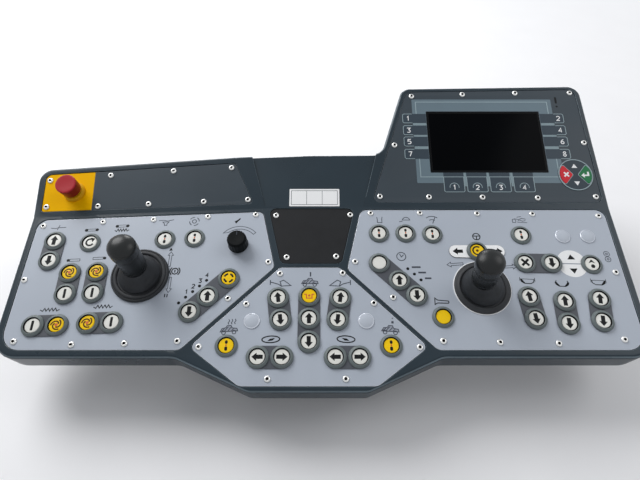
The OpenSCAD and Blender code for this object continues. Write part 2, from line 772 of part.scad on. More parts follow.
// Emergency stop: a collar on the yellow plate, and the head with its plunger
stop_at = [wing_plate_x[0] + 46, wing_len / 2];
stop_hole_d = 26;
plunger_d = 14;
collar_d = 32;
collar_h = 6;
collar_barrel = barrel_len + 8;
module at_stop() {
    in_deck() on_wing() translate([stop_at[0], stop_at[1], plate_top]) children();
}
module stop_collar() {
    color([0.75, 0.62, 0.12]) at_stop() difference() {
        rotate_extrude() polygon([
            [0, -collar_barrel], [barrel_d / 2, -collar_barrel], [barrel_d / 2, 0],
            [collar_d / 2, 0], [collar_d / 2, 2.5], [collar_d / 2 - 3, collar_h], [0, collar_h]
        ]);
        translate([0, 0, -collar_barrel - 1])
            cylinder(h = collar_barrel + collar_h + 2, d = plunger_d + 0.1);
    }
}
module stop_head() {
    skirt = collar_h + stop_travel + 0.5;
    color([0.62, 0.10, 0.12]) at_stop() rotate_extrude() polygon([
        [0, -barrel_len], [plunger_d / 2, -barrel_len], [plunger_d / 2, skirt],
        [stop_d / 2 - 1.8, skirt], [stop_d / 2 - 1, skirt + 1], [stop_d / 2, stop_h - 1.6],
        [stop_d / 2 - 0.5, stop_h - 0.5], [stop_d / 2 - 1.6, stop_h], [0, stop_h]
    ]);
}

housing();
base_pan();
bracket();
cable_gland();
left_panel();
middle_panel();
right_panel();
centre_cover();
wing_plate();
stop_plate();
display_plate();
display_screen();
nav_pad();
nav_key(-1, [0.70, 0.12, 0.14]);  // nav_red_key
nav_key(1, [0.08, 0.42, 0.24]);  // nav_green_key
webs(left_rows);  // left_webs
webs(middle_rows);  // middle_webs
webs(right_rows);  // right_webs
bezels(left_rows);  // left_bezels
bezels(middle_rows);  // middle_bezels
union() {  // right_bezels
    bezels(right_rows);
    color(bezel_colour) in_deck() steering_button() bezel();
}
caps(left_rows, "w", white);  // left_white_caps
caps(middle_rows, "w", white);  // middle_white_caps
caps(right_rows, "w", white);  // right_white_caps
caps(left_rows, "y", yellow);  // left_yellow_caps
caps(middle_rows, "y", yellow);  // middle_yellow_caps
union() {  // right_yellow_caps
    caps(right_rows, "y", yellow);
    color(yellow) in_deck() steering_button() cap();
}
blank_plugs();
steering_plate();
color(black) at_drive() lever_base(drive_pin_heading);  // drive_base
color(black) at_drive() lever_boot(drive_lean);  // drive_boot
color(steel) at_drive() lever_stem(drive_h, drive_lean, drive_pin_heading);  // drive_stem
color(black) at_drive() lever_grip(drive_h, drive_lean);  // drive_grip
color(black) at_steer() lever_base(steer_pin_heading);  // steering_base
color(black) at_steer() lever_boot(steer_lean);  // steering_boot
color(steel) at_steer() lever_stem(steer_h, steer_lean, steer_pin_heading);  // steering_stem
color(black) at_steer() lever_grip(steer_h, steer_lean);  // steering_grip
speed_knob();
knob_bush();
stop_collar();
stop_head();
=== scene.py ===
"""Operator's console of a road paver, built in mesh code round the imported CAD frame.

Lengths are millimetres. Each frame below maps millimetres in its own axes to the model's metres.
"""

import math
from contextlib import contextmanager

import bmesh
import bpy
from mathutils import Matrix, Vector
from mathutils.geometry import tessellate_polygon


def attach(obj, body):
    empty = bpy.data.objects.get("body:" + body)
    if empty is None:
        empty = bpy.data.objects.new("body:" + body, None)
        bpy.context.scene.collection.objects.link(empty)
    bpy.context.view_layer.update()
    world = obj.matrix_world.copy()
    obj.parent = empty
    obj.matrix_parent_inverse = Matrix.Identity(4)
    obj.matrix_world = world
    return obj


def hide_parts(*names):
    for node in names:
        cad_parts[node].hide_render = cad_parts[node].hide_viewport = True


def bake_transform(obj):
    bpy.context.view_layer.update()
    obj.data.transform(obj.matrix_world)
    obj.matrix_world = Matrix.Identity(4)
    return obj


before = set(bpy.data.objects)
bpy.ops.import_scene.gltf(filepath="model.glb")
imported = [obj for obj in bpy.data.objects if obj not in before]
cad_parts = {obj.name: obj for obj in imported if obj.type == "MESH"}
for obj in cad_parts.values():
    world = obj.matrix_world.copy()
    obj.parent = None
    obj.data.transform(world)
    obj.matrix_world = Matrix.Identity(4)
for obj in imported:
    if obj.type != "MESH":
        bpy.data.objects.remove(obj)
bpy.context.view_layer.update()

# Frames

MM = 0.001
TILT = 15
HEAD_Z = 84
CREASE_Y = 277
WING_TURN = 2.6
HOOD_RISE = 9


def turn(degrees, axis):
    return Matrix.Rotation(math.radians(degrees), 4, axis)


def move(x, y, z=0.0):
    return Matrix.Translation((x, y, z))


WORLD = Matrix.Scale(MM, 4)
HEAD = WORLD @ move(0, 0, HEAD_Z) @ turn(TILT, "X")
DECK = HEAD @ move(0, -185, 61)
WING_IN_DECK = move(0, CREASE_Y) @ turn(WING_TURN, "Z") @ turn(HOOD_RISE, "X")
DISPLAY_IN_DECK = move(0, CREASE_Y) @ turn(HOOD_RISE, "X")
CENTRE_IN_DECK = move(0, CREASE_Y) @ turn(5, "X")
WING = DECK @ WING_IN_DECK
DISPLAY = DECK @ DISPLAY_IN_DECK
CENTRE = DECK @ CENTRE_IN_DECK
PLATE_LOW, PLATE_TOP = -4, -1.0
WEB_T = 1.2

# Outlines: a corner is (x, y, radius), and corners run anticlockwise

SQUARE = ((-1, -1), (1, -1), (1, 1), (-1, 1))


def polar(r, degrees):
    a = math.radians(degrees)
    return r * math.cos(a), r * math.sin(a)


def sides(outline, i):
    x, y, _ = outline[i]
    p, q = outline[i - 1], outline[(i + 1) % len(outline)]
    a = Vector((x - p[0], y - p[1])).normalized()
    b = Vector((q[0] - x, q[1] - y)).normalized()
    return a, b


def left_of(v):
    return Vector((-v.y, v.x))


def inset(outline, d):
    moved = []
    for i, (x, y, r) in enumerate(outline):
        a, b = sides(outline, i)
        m = Vector((x, y)) + d * (left_of(a) + left_of(b)) / (1 + a.dot(b))
        moved.append((m.x, m.y, max(r - d, 1) if a.cross(b) > 0 else r + d))
    return moved


def ring(outline, steps):
    """The points of an outline with its corners rounded."""
    points = []
    for i, (x, y, r) in enumerate(outline):
        a, b = sides(outline, i)
        bend = math.atan2(a.cross(b), a.dot(b))
        start = Vector((x, y)) - a * r * math.tan(abs(bend) / 2)
        centre = start + left_of(a) * math.copysign(r, bend)
        arm = start - centre
        for k in range(steps + 1):
            c, s = math.cos(bend * k / steps), math.sin(bend * k / steps)
            points.append((centre.x + arm.x * c - arm.y * s, centre.y + arm.x * s + arm.y * c))
    return points


def circle(x, y, r):
    return [(x + i * r, y + j * r, r * 0.999) for i, j in SQUARE]


def rectangle(x, y, w, h, r=1.0):
    return [(x + i * w / 2, y + j * h / 2, r) for i, j in SQUARE]


def meet(p, q):
    """Where two lines cross, each line (x, y, heading)."""
    a, b = Vector(polar(1, p[2])), Vector(polar(1, q[2]))
    t = Vector((q[0] - p[0], q[1] - p[1])).cross(b) / a.cross(b)
    return p[0] + a.x * t, p[1] + a.y * t


def mirrored(outline):
    return [(-x, y, r) for x, y, r in reversed(outline)]


def arc(x, y, r, start=0, end=360, steps=24):
    count = steps if abs(end - start) >= 360 else steps + 1
    points = [polar(r, start + (end - start) * k / steps) for k in range(count)]
    return [(x + i, y + j) for i, j in points]


# Mesh helpers

NOTHING = 1e-6
# A corner of a profile that bends by less than this, in radians, stays as it is
SLIGHT_BEND = 0.12


def new_object(name, data):
    obj = bpy.data.objects.new(name, data)
    bpy.context.scene.collection.objects.link(obj)
    return obj


@contextmanager
def editing(data):
    bm = bmesh.new()
    bm.from_mesh(data)
    yield bm
    bm.to_mesh(data)
    bm.free()


def place_object(name, data, body, replaces=(), angle=34):
    data.polygons.foreach_set("use_smooth", [True] * len(data.polygons))
    data.set_sharp_from_angle(angle=math.radians(angle))
    obj = new_object(name, data)
    if body:
        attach(obj, body)
    if replaces:
        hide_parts(*replaces)
    if body:
        normals = obj.modifiers.new("normals", "WEIGHTED_NORMAL")
        normals.keep_sharp = True
        normals.weight = 80
    return obj


def bands(rings, closed=False):
    """Faces between rings of equal length, given as lists of vertex numbers; one number is a tip."""
    faces = []
    pairs = list(zip(rings, rings[1:])) + ([(rings[-1], rings[0])] if closed else [])
    for low, high in pairs:
        n = max(len(low), len(high))
        for i in range(n):
            j = (i + 1) % n
            if len(low) == 1:
                faces.append([low[0], high[j], high[i]])
            elif len(high) == 1:
                faces.append([low[i], low[j], high[0]])
            else:
                faces.append([low[i], low[j], high[j], high[i]])
    return faces


def numbered(verts, points):
    """Adds points to a list and gives their numbers in it."""
    verts += points
    return list(range(len(verts) - len(points), len(verts)))


class Mesh:
    """Faces gathered from several forms, which become one object."""

    def __init__(self):
        self.verts, self.faces, self.slots = [], [], []

    def add(self, place, verts, faces, slots=0):
        base = len(self.verts)
        self.verts += [place @ Vector(v) for v in verts]
        self.faces += [[i + base for i in f] for f in faces]
        self.slots += slots[: len(faces)] if isinstance(slots, list) else [slots] * len(faces)

    def skin(self, place, sections, slots=0, closed=False, caps=True):
        """Faces through closed sections, each a list of points."""
        verts = []
        rings = [numbered(verts, section) for section in sections]
        faces = bands(rings, closed)
        if caps and not closed:
            faces += [rings[0][::-1], rings[-1]]
        self.add(place, verts, faces, slots)

    def build(self, name, materials, body="console", replaces=(), slot=None, angle=34):
        data = bpy.data.meshes.new(name)
        data.from_pydata(self.verts, [], self.faces)
        data.polygons.foreach_set("material_index", self.slots)
        for m in materials:
            data.materials.append(m)
        with editing(data) as bm:
            bmesh.ops.recalc_face_normals(bm, faces=bm.faces)
        return place_object(name, data, body, replaces, angle)


def soft(profile, r):
    """A closed profile with its corners rounded off."""
    out = []
    for i, p in enumerate(profile):
        p = Vector(p)
        a = Vector(profile[i - 1]) - p
        b = Vector(profile[(i + 1) % len(profile)]) - p
        if min(p.x, a.length, b.length) < NOTHING or abs(a.angle(b) - math.pi) < SLIGHT_BEND:
            out.append(tuple(p))
            continue
        cut = min(r, a.length * 0.45, b.length * 0.45)
        start, end = p + a.normalized() * cut, p + b.normalized() * cut
        for t in (0, 0.33, 0.67, 1):
            out.append(tuple(start * (1 - t) ** 2 + p * 2 * t * (1 - t) + end * t * t))
    return out


def lathe(mesh, place, profile, slot=0, segments=48, wave=None):
    """Turns (radius, height) points round Z. slot is a number, or one number for each band."""
    sections = []
    for r, z in profile:
        count = 1 if r < NOTHING else segments
        section = []
        for i in range(count):
            a = 2 * math.pi * i / segments
            s = r * (wave(a, z) if wave else 1)
            section.append((s * math.cos(a), s * math.sin(a), z))
        sections.append(section)
    closed = len(sections[0]) > 1 and len(sections[-1]) > 1
    slots = [s for s in slot for _ in range(segments)] if isinstance(slot, list) else slot
    mesh.skin(place, sections, slots, closed, caps=False)


def turned_piece(name, node_name, place, profile, materials, slot, band_slots=0, body="console",
                 angle=34, segments=48, wave=None):
    """A piece that is one turned form and replaces one node."""
    m = Mesh()
    lathe(m, place, profile, band_slots, segments, wave)
    m.build(name, materials, body, [node_name], slot, angle)


def loft(mesh, place, outline, steps, arcs):
    """A closed skin through copies of one outline, each step (inset, height)."""
    sections = [[(x, y, z) for x, y in ring(inset(outline, d), arcs)] for d, z in steps]
    mesh.skin(place, sections)


def plate(mesh, place, outline, low, high, holes=(), edge=0.4, slot=0, edge_slot=None):
    """A flat plate with a bevelled upper edge and bevelled holes, each hole an outline."""
    verts, faces, slots = [], [], []
    ends = {low: [], high: []}
    rim = slot if edge_slot is None else edge_slot
    for k, o in enumerate([outline] + list(holes)):
        sign = 1 if k == 0 else -1
        rings = []
        for d, z in ((0, low), (0, high - edge), (edge * 0.3, high - edge * 0.3), (edge, high)):
            rings.append(numbered(verts, [(x, y, z) for x, y in ring(inset(o, sign * d), 8)]))
        new = bands(rings)
        faces += new
        slots += [rim] * len(new)
        ends[low].append(rings[0])
        ends[high].append(rings[-1])
    for parts in ends.values():
        order = [i for p in parts for i in p]
        flat = tessellate_polygon([[Vector(verts[i]) for i in p] for p in parts])
        faces += [[order[i] for i in t] for t in flat]
        slots += [slot] * len(flat)
    mesh.add(place, verts, faces, slots)


PRINT_T = 0.08
SUNK = 0.02


def stroke(mesh, place, points, width, closed=False, slot=0, z=0.0):
    """A printed line with mitred corners."""
    pts = [Vector(p[:2]) for p in points]
    sections = []
    for i, p in enumerate(pts):
        a = p - pts[i - 1] if i or closed else pts[1] - p
        b = pts[(i + 1) % len(pts)] - p if i < len(pts) - 1 or closed else a
        la, lb = left_of(a.normalized()), left_of(b.normalized())
        m = (la + lb) / max(1 + la.dot(lb), 0.3) * width / 2
        low, high = z - SUNK, z + PRINT_T
        ends = ((p + m, low), (p - m, low), (p - m, high), (p + m, high))
        sections.append([(v.x, v.y, h) for v, h in ends])
    mesh.skin(place, sections, slot, closed)


def shape(mesh, place, points, slot=0, z=0.0, t=PRINT_T):
    """A printed area."""
    mesh.skin(place, [[(p[0], p[1], h) for p in points] for h in (z - SUNK, z + t)], slot)


# Materials

# The noise and pointiness values over which clouds and worn edges fade
CLOUD_RANGE, WORN_RANGE = (0.3, 0.7), (0.51, 0.6)
GRAIN_DEPTH = 0.0003


def linear(r, g, b):
    def one(c):
        c /= 255
        return c / 12.92 if c <= 0.04045 else ((c + 0.055) / 1.055) ** 2.4

    return one(r), one(g), one(b)


def feed(tree, owner, inputs):
    """Gives each named input of a node a number, a colour or another node's output."""
    for name, value in inputs.items():
        if isinstance(value, bpy.types.NodeSocket):
            tree.links.new(value, owner.inputs[name])
        else:
            owner.inputs[name].default_value = value


def node(tree, kind, inputs, **settings):
    made = tree.nodes.new("ShaderNode" + kind)
    for name, value in settings.items():
        setattr(made, name, value)
    feed(tree, made, inputs)
    return made


def ranged(tree, value, low, high, to_low, to_high, **settings):
    limits = {"From Min": low, "From Max": high, "To Min": to_low, "To Max": to_high}
    return node(tree, "MapRange", {"Value": value, **limits}, **settings).outputs["Result"]


def mixed(tree, factor, a, b):
    return node(tree, "Mix", {0: factor, 6: a, 7: b}, data_type="RGBA").outputs[2]


def finish_of(name, rgb, rough, metal=0.0, grain=900, bump=0.08, spread=0.06, cloud=11,
              wear=0.0, coat=0.0, soften=0.06, shine=0.3):
    """A surface with clouded colour and roughness, a fine grain and paler worn edges."""
    base = linear(*rgb)
    mat = bpy.data.materials.new(name)
    mat.use_nodes = True
    tree = mat.node_tree
    at = node(tree, "TexCoord", {}).outputs["Object"]
    clouds = node(tree, "TexNoise", {"Vector": at, "Scale": cloud, "Detail": 5}).outputs["Fac"]
    fine = node(tree, "TexNoise", {"Vector": at, "Scale": grain, "Detail": 2}).outputs["Fac"]
    dark = (*(c * (1 - spread) for c in base), 1)
    pale = (*(min(c * (1 + spread), 1) for c in base), 1)
    colour = mixed(tree, ranged(tree, clouds, *CLOUD_RANGE, 0, 1), dark, pale)
    if wear:
        edge = node(tree, "NewGeometry", {}).outputs["Pointiness"]
        worn = (*(c * 0.55 + 0.22 for c in base), 1)
        colour = mixed(tree, ranged(tree, edge, *WORN_RANGE, 0, wear), colour, worn)
    bumps = node(tree, "Bump", {"Strength": bump, "Distance": GRAIN_DEPTH, "Height": fine})
    feed(tree, tree.nodes["Principled BSDF"], {
        "Metallic": metal, "Specular IOR Level": shine, "Coat Weight": coat, "Coat Roughness": 0.12,
        "Base Color": colour, "Normal": bumps.outputs["Normal"],
        "Roughness": ranged(tree, clouds, *CLOUD_RANGE, rough - soften, rough + soften),
    })
    return mat


HOUSING = finish_of("housing", (31, 45, 54), 0.29, grain=1400, bump=0.12, soften=0.03, shine=0.24)
# A paler copy of the housing's colour: a painted highlight for its rounded upper edges
HOUSING_HIGHLIGHT = finish_of("housing_painted_highlight", (92, 106, 114), 0.26, grain=1400, spread=0.2)
PANEL = finish_of("panel", (172, 180, 192), 0.42, grain=1500, bump=0.06, spread=0.03, wear=0.4)
PANEL_EDGE = finish_of("panel_edge", (212, 216, 224), 0.3, metal=0.3, spread=0.03)
DARK_PLATE = finish_of("dark_plate", (44, 56, 65), 0.42, grain=1500, bump=0.06, wear=0.4, shine=0.2)
DARK_EDGE = finish_of("dark_edge", (92, 98, 106), 0.36)
YELLOW_PLATE = finish_of("yellow_plate", (244, 184, 0), 0.5, spread=0.04, shine=0.04)
COVER = finish_of("cover", (30, 31, 33), 0.6, grain=2200, bump=0.3, spread=0.2, cloud=40, shine=0.14)
BEZEL = finish_of("bezel", (98, 107, 108), 0.36, grain=1100, bump=0.14, spread=0.09, wear=0.6)
# Painted shade for the bezel's inner wall round the cap
BEZEL_WELL_SHADE = finish_of("bezel_well_shade", (14, 16, 17), 0.7, shine=0.1)
WEB = finish_of("web", (66, 70, 78), 0.45, wear=0.4)
WHITE_CAP = finish_of("white_cap", (228, 228, 222), 0.32, bump=0.03, spread=0.03, coat=0.2)
YELLOW_CAP = finish_of("yellow_cap", (250, 206, 14), 0.32, bump=0.03, spread=0.05, coat=0.1, shine=0.15)
PLUG = finish_of("plug", (182, 189, 200), 0.4, spread=0.03)
WHITE_PLATE = finish_of("white_plate", (242, 243, 244), 0.42, bump=0.02, spread=0.02)
RUBBER = finish_of("rubber", (40, 42, 45), 0.5, grain=1100, bump=0.3, spread=0.34, cloud=60, shine=0.26)
GRIP = finish_of("grip", (15, 18, 19), 0.28, grain=1600, bump=0.18, spread=0.2, cloud=30)
STEEL = finish_of("steel", (208, 208, 206), 0.3, metal=0.85, grain=2500, spread=0.05)
# Painted shade for the screws' hexagon sockets
SOCKET_SHADE = finish_of("socket", (8, 8, 9), 0.7, shine=0.06)
KNOB = finish_of("knob", (8, 11, 13), 0.4, grain=1500, bump=0.12, shine=0.08)
COLLAR = finish_of("collar", (214, 160, 16), 0.4, shine=0.15)
# The head's top and side are one red plastic; the side's darker copy is painted shade
STOP_TOP = finish_of("stop_top", (168, 42, 50), 0.36, bump=0.05, shine=0.16)
STOP_SIDE_SHADED = finish_of("stop_side_shaded", (136, 20, 30), 0.36, bump=0.05, spread=0.08, shine=0.2)
SCREEN = finish_of("screen", (2, 3, 5), 0.12, bump=0.0, spread=0.2, soften=0.03, shine=0.02)
SCREEN_RIM = finish_of("screen_rim", (6, 7, 9), 0.4, shine=0.06)
RED_KEY = finish_of("red_key", (200, 32, 44), 0.4, shine=0.2)
GREEN_KEY = finish_of("green_key", (10, 108, 60), 0.4, shine=0.2)
PAN = finish_of("pan", (40, 43, 47), 0.5, grain=1200, bump=0.25, wear=0.5)
BRACKET = finish_of("bracket", (46, 50, 55), 0.5, bump=0.3, spread=0.12, wear=0.8)
WELD = finish_of("weld", (66, 69, 73), 0.5, grain=500, bump=0.6)


def ink_of(name, rgb, rough, **more):
    return finish_of(name, rgb, rough, bump=0.02, **more)


BLACK_PRINT = ink_of("black_print", (16, 18, 20), 0.5, shine=0.12)
WHITE_PRINT = ink_of("white_print", (238, 239, 240), 0.5, spread=0.03)
SLATE_PRINT = ink_of("slate_print", (98, 116, 126), 0.42, spread=0.08)
PALE_PRINT = ink_of("pale_print", (150, 168, 174), 0.42)
STRIPE_PRINT = ink_of("stripe_print", (126, 144, 151), 0.42)
CELL_PRINT = ink_of("cell_print", (50, 62, 72), 0.42, shine=0.2)
ORANGE_PRINT = ink_of("orange_print", (206, 104, 52), 0.45)
BROWN_PRINT = ink_of("brown_print", (84, 50, 12), 0.45, shine=0.15)
GREY_PRINT = ink_of("grey_print", (64, 69, 79), 0.5, shine=0.2)
BAND_PRINT = ink_of("band_print", (146, 152, 164), 0.45)

# Housing

NOSE_Y = 5.06
LEFT, RIGHT = 414, 452
CENTRE_TOP, DISPLAY_TOP = 91, 217
RIDGE_X = 84 + (150 - 84) * CENTRE_TOP / DISPLAY_TOP
deck_outline = [
    (-76, NOSE_Y, 22), (76, NOSE_Y, 22), (174, 48, 30), (RIGHT, 48, 34),
    (RIGHT, 303, 8), (-LEFT, 303, 8), (-LEFT, 48, 34), (-174, 48, 30),
]
wing_outline = [(-LEFT, -30, 2), (12, -30, 2), (12, 90, 1), (-106, 90, 60), (-LEFT, 79, 20)]
display_outline = [
    (-12, -30, 2), (453, -30, 2), (442, DISPLAY_TOP, 20), (150, 212, 18), (RIDGE_X, CENTRE_TOP, 20),
    (-12, 90, 1),
]
valley_outline = [(-68, 0, 1), (80, 0, 1), (RIDGE_X - 4, 110, 1), (-98, 110, 1)]
middle_outline = [
    (-88, 13, 16), (88, 13, 16), (156, 63, 8), (42, 177, 10), (-42, 177, 10), (-156, 63, 8),
]
cover_outline = [(-41, 183, 9), (45, 183, 9), (66, 274, 9), (-62, 274, 9)]
SEAM, SEAM_HEADING = 6, 45
COVER_HEADING = math.degrees(math.atan2(91, 21))
seam_x, seam_y = polar(SEAM, SEAM_HEADING)
seam_line = (-42 - seam_y, 177 + seam_x, SEAM_HEADING)


def side_outline(edge_x, shift, back_line, radii):
    """A side panel's outline, from the five lines that bound it."""
    rib_x = -43 - 10 / math.sin(math.radians(COVER_HEADING)) - shift
    lines = [(edge_x, 0, 90), (0, 59, 0), seam_line, (rib_x, 183, 180 - COVER_HEADING), back_line]
    points = [meet(p, q) for p, q in zip(lines, lines[1:] + lines[:1])]
    return [(x, y, r) for (x, y), r in zip(points, radii)]


left_outline = side_outline(-403, -2, (0, 272, WING_TURN), (26, 14, 10, 9, 16))
right_outline = mirrored(side_outline(-441, 2, (0, 272, 0), (26, 14, 10, 12, 14)))
wing_plate_outline = [(-329, 9, 1), (-86, 9, 5), (-114, 79, 5), (-329, 72, 1)]
stop_plate_outline = [(-403, 9, 4), (-329, 9, 1), (-329, 72, 1), (-403, 70, 9)]
wing_pocket_outline = [(-403, 9, 4), (-86, 9, 5), (-114, 79, 5), (-403, 70, 9)]
display_plate_outline = [(94, 8, 9), (443, 8, 9), (433, 210, 14), (157, 205, 12)]
DRIVE_AT = (-237, 164)
STEER_AT = (239, 146)
KNOB_AT = (-103, 212)
STOP_AT = (-357, 39.5)

# Steps of a recess with a gap round its plate and a rounded mouth
GAP, LIP = 0.5, 0.9
MOUTH = [(-GAP - share * LIP, z) for share, z in (
    (0, PLATE_LOW), (0, -LIP), (0.13, -0.5 * LIP), (0.5, -0.13 * LIP), (1, 0.0), (1, 6))]
# A painted highlight on the middle of each rounded upper edge, chosen by how far its faces look up
HIGHLIGHT_LOW, HIGHLIGHT_HIGH = 0.45, 0.9
RIDGE_START, RIDGE_REACH = CREASE_Y + 16, 112


def rounded(low, low_r, high_r):
    """Steps of a form from low up to 0, with its lower and upper edges rounded."""
    steps = []
    for x, y in (polar(low_r, 10 * k) for k in range(10)):
        steps.append((low_r - y, low + low_r - x))
    for x, y in (polar(high_r, 15 * k) for k in range(7)):
        steps.append((high_r - x, y - high_r))
    return steps


def solid(place, outline, steps, arcs=8):
    m = Mesh()
    loft(m, place, outline, steps, arcs)
    data = bpy.data.meshes.new("form")
    data.from_pydata(m.verts, [], m.faces)
    with editing(data) as bm:
        bmesh.ops.remove_doubles(bm, verts=bm.verts, dist=0.03)
        bmesh.ops.triangulate(bm, faces=bm.faces)
        bmesh.ops.recalc_face_normals(bm, faces=bm.faces)
    return new_object("form", data)


def is_ridge(edge):
    """True for the sharp edges between the hood and the lower centre section."""
    if len(edge.link_faces) != 2 or not edge.is_convex:
        return False
    steep, flat = sorted(f.normal.z for f in edge.link_faces)
    inside = all(abs(v.co.x) < RIDGE_REACH and v.co.y > RIDGE_START - 0.1 for v in edge.verts)
    return inside and abs(steep) < 0.3 and flat > 0.95


def housing_mesh():
    still = Matrix.Identity(4)
    deck = solid(still, deck_outline, rounded(-58, 22, 5), 14)
    adds = [
        solid(WING_IN_DECK, wing_outline, rounded(-46, 14, 4), 12),
        solid(DISPLAY_IN_DECK, display_outline, rounded(-46, 14, 4), 12),
    ]
    cuts = [solid(CENTRE_IN_DECK, valley_outline, [(0, 0), (0, 24)], 2)]
    for o in (left_outline, middle_outline, right_outline):
        cuts.append(solid(still, o, MOUTH))
        cuts.append(solid(still, inset(o, 9), [(0, -52), (0, -3)]))
    cuts.append(solid(still, cover_outline, MOUTH))
    cuts.append(solid(WING_IN_DECK, wing_pocket_outline, MOUTH))
    cuts.append(solid(DISPLAY_IN_DECK, display_plate_outline, MOUTH))
    cuts.append(solid(WING_IN_DECK, circle(*STOP_AT, 13), [(0, -34), (0, -3)]))
    for group, operation in ((adds, "UNION"), (cuts, "DIFFERENCE")):
        for tool in group:
            step = deck.modifiers.new("form", "BOOLEAN")
            step.operation = operation
            step.solver = "MANIFOLD"
            step.object = tool
    graph = bpy.context.evaluated_depsgraph_get()
    data = bpy.data.meshes.new_from_object(deck.evaluated_get(graph))
    for obj in [deck] + adds + cuts:
        bpy.data.objects.remove(obj)
    data.name = "housing_shell"
    near = 0.01
    with editing(data) as bm:
        bmesh.ops.remove_doubles(bm, verts=bm.verts, dist=near)
        bmesh.ops.dissolve_degenerate(bm, edges=bm.edges, dist=near)
        everything = list(bm.verts) + list(bm.edges) + list(bm.faces)
        bmesh.ops.bisect_plane(bm, geom=everything, plane_co=(0, RIDGE_START, 0),
                               plane_no=(0, 1, 0), dist=near)
        bm.normal_update()
        ridges = [edge for edge in bm.edges if is_ridge(edge)]
        bmesh.ops.bevel(bm, geom=ridges, offset=1.1, offset_type="OFFSET", segments=3, profile=0.5,
                        affect="EDGES", clamp_overlap=False)
    data.materials.clear()
    data.materials.append(HOUSING)
    data.materials.append(HOUSING_HIGHLIGHT)
    # Faces on the rounded upper edges get the painted highlight
    for facet in data.polygons:
        facet.material_index = 1 if HIGHLIGHT_LOW < facet.normal.z < HIGHLIGHT_HIGH else 0
    data.transform(DECK)
    return data


place_object("housing_shell", housing_mesh(), "console", ["housing"], 30)

# Push-buttons: rows of (x, y, heading, distances along the row, caps, signs)

PITCH = 31.7
LONG_PITCH = 37.5
ONE = (0,)
TWO = (0, PITCH)
left_rows = [
    (-370, 218.5, -90, TWO, "ww", ("up", "down")),
    (-318.5, 216, 0, ONE, "w", ("round",)),
    (-336, 168, -88, TWO, "yw", ("swirl", "bar")),
    (-298.5, 169.5, -88, TWO, "yw", ("swirl", "bar")),
    (-366.5, 91, 2, TWO, "wy", ("bar", "swirl")),
    (-294.5, 95, 2, TWO, "yw", ("swirl", "bar")),
    (-211, 221.5, 0, ONE, "w", ("dash",)),
    (-168, 223.5, 0, ONE, "w", ("dash",)),
    (-112.5, 159.5, -135, (0, LONG_PITCH, LONG_PITCH + PITCH), "yww", ("arcs", "up", "down")),
]
middle_rows = [
    (-42.6, 131, -82, TWO, "ww", ("up", "down")),
    (42.6, 131, -98, TWO, "ww", ("up", "down")),
    (0, 133, -90, (0, PITCH, 2 * PITCH), "yww", ("tray", "up", "down")),
    (-107.5, 64.5, 0, ONE, "y", ("dash",)),
    (107.5, 64.5, 0, ONE, "y", ("dash",)),
    (-66, 49.5, 0, TWO, "ww", ("left", "right")),
    (66, 49.5, 180, TWO, "ww", ("right", "left")),
]
right_rows = [
    (101, 231.5, 0, ONE, "w", ("dash",)),
    (140, 231.5, 0, ONE, "w", ("dash",)),
    (179, 230, 0, ONE, "w", ("dash",)),
    (308.5, 228.5, 0, ONE, "w", ("dash",)),
    (98.5, 183, -45, (0, LONG_PITCH, LONG_PITCH + PITCH), "www", ("none", "up", "down")),
    (180, 103.5, 0, ONE, "y", ("none",)),
    (305, 183.5, -1, (0, LONG_PITCH), "ww", ("cross", "down")),
    (399.5, 181.5, 0, ONE, "w", ("dot",)),
    (300.5, 132.5, -85, TWO, "ww", ("up", "down")),
    (347.5, 126, -93, TWO, "ww", ("up", "down")),
    (396, 129, -98, TWO, "ww", ("up", "down")),
]
STEER_BUTTON_AT = (240, 202)
steering_row = (*STEER_BUTTON_AT, 0, ONE, "y", ("ring",))


def lean_of(heading):
    """How far the signs of a row turn with it."""
    lean = heading + 90 if 75 <= abs(heading) < 105 else heading
    return lean if abs(lean) <= 20 else 0


def buttons(rows):
    for x, y, heading, distances, caps, signs in rows:
        on_plate = len(distances) > 1 or (x, y) == STEER_BUTTON_AT
        z = PLATE_TOP + (WEB_T if on_plate else 0.0)
        for d, cap, sign in zip(distances, caps, signs):
            i, j = polar(d, heading)
            yield x + i, y + j, z, cap, sign, lean_of(heading)


BEZEL_R, BEZEL_H = 15, 3.4
HOLE_R = 11.15
bezel_profile = soft([
    (8, -9), (11, -9), (11, 0), (BEZEL_R, 0), (BEZEL_R, 1.2), (14.3, 2.2), (13.7, 2.4), (13.45, 2.4),
    (13.15, 2.8), (11.8, BEZEL_H), (11.1, BEZEL_H), (10.8, 2.9), (10.45, 0.9), (8, 0.9),
], 0.35)
# The well round the cap is painted dark, as shade in the recess
bezel_shade_bands = [
    1 if max(ra, rb) < 11.05 and min(za, zb) > 0.5 else 0
    for (ra, za), (rb, zb) in zip(bezel_profile, bezel_profile[1:] + bezel_profile[:1])
]
CAP_TOP = 1.9
cap_profile = [
    (0, 1.05), (9.5, 1.05), (9.7, 1.15), (9.7, 1.5), (9.45, 1.75), (8.9, CAP_TOP), (0, CAP_TOP),
]


def spun(points, degrees, x=0.0, y=0.0):
    """Points turned round the origin and then moved."""
    c, s = polar(1, degrees)
    return [(x + c * i - s * j, y + s * i + c * j) for i, j in points]


def spiral(start, sweep, inner, outer, steps=14):
    shares = [k / steps for k in range(steps + 1)]
    return [polar(inner + (outer - inner) * t, start + sweep * t) for t in shares]


ARROW = [(-2.7, -7.2), (2.7, -7.2), (2.7, 0.9), (5.4, 0.9), (0, 7.4), (-5.4, 0.9), (-2.7, 0.9)]
CROSS = [(1.7, 1.7), (7, 1.7), (7, -1.7), (1.7, -1.7), (1.7, -7), (-1.7, -7),
         (-1.7, -1.7), (-7, -1.7), (-7, 1.7), (-1.7, 1.7), (-1.7, 7), (1.7, 7)]
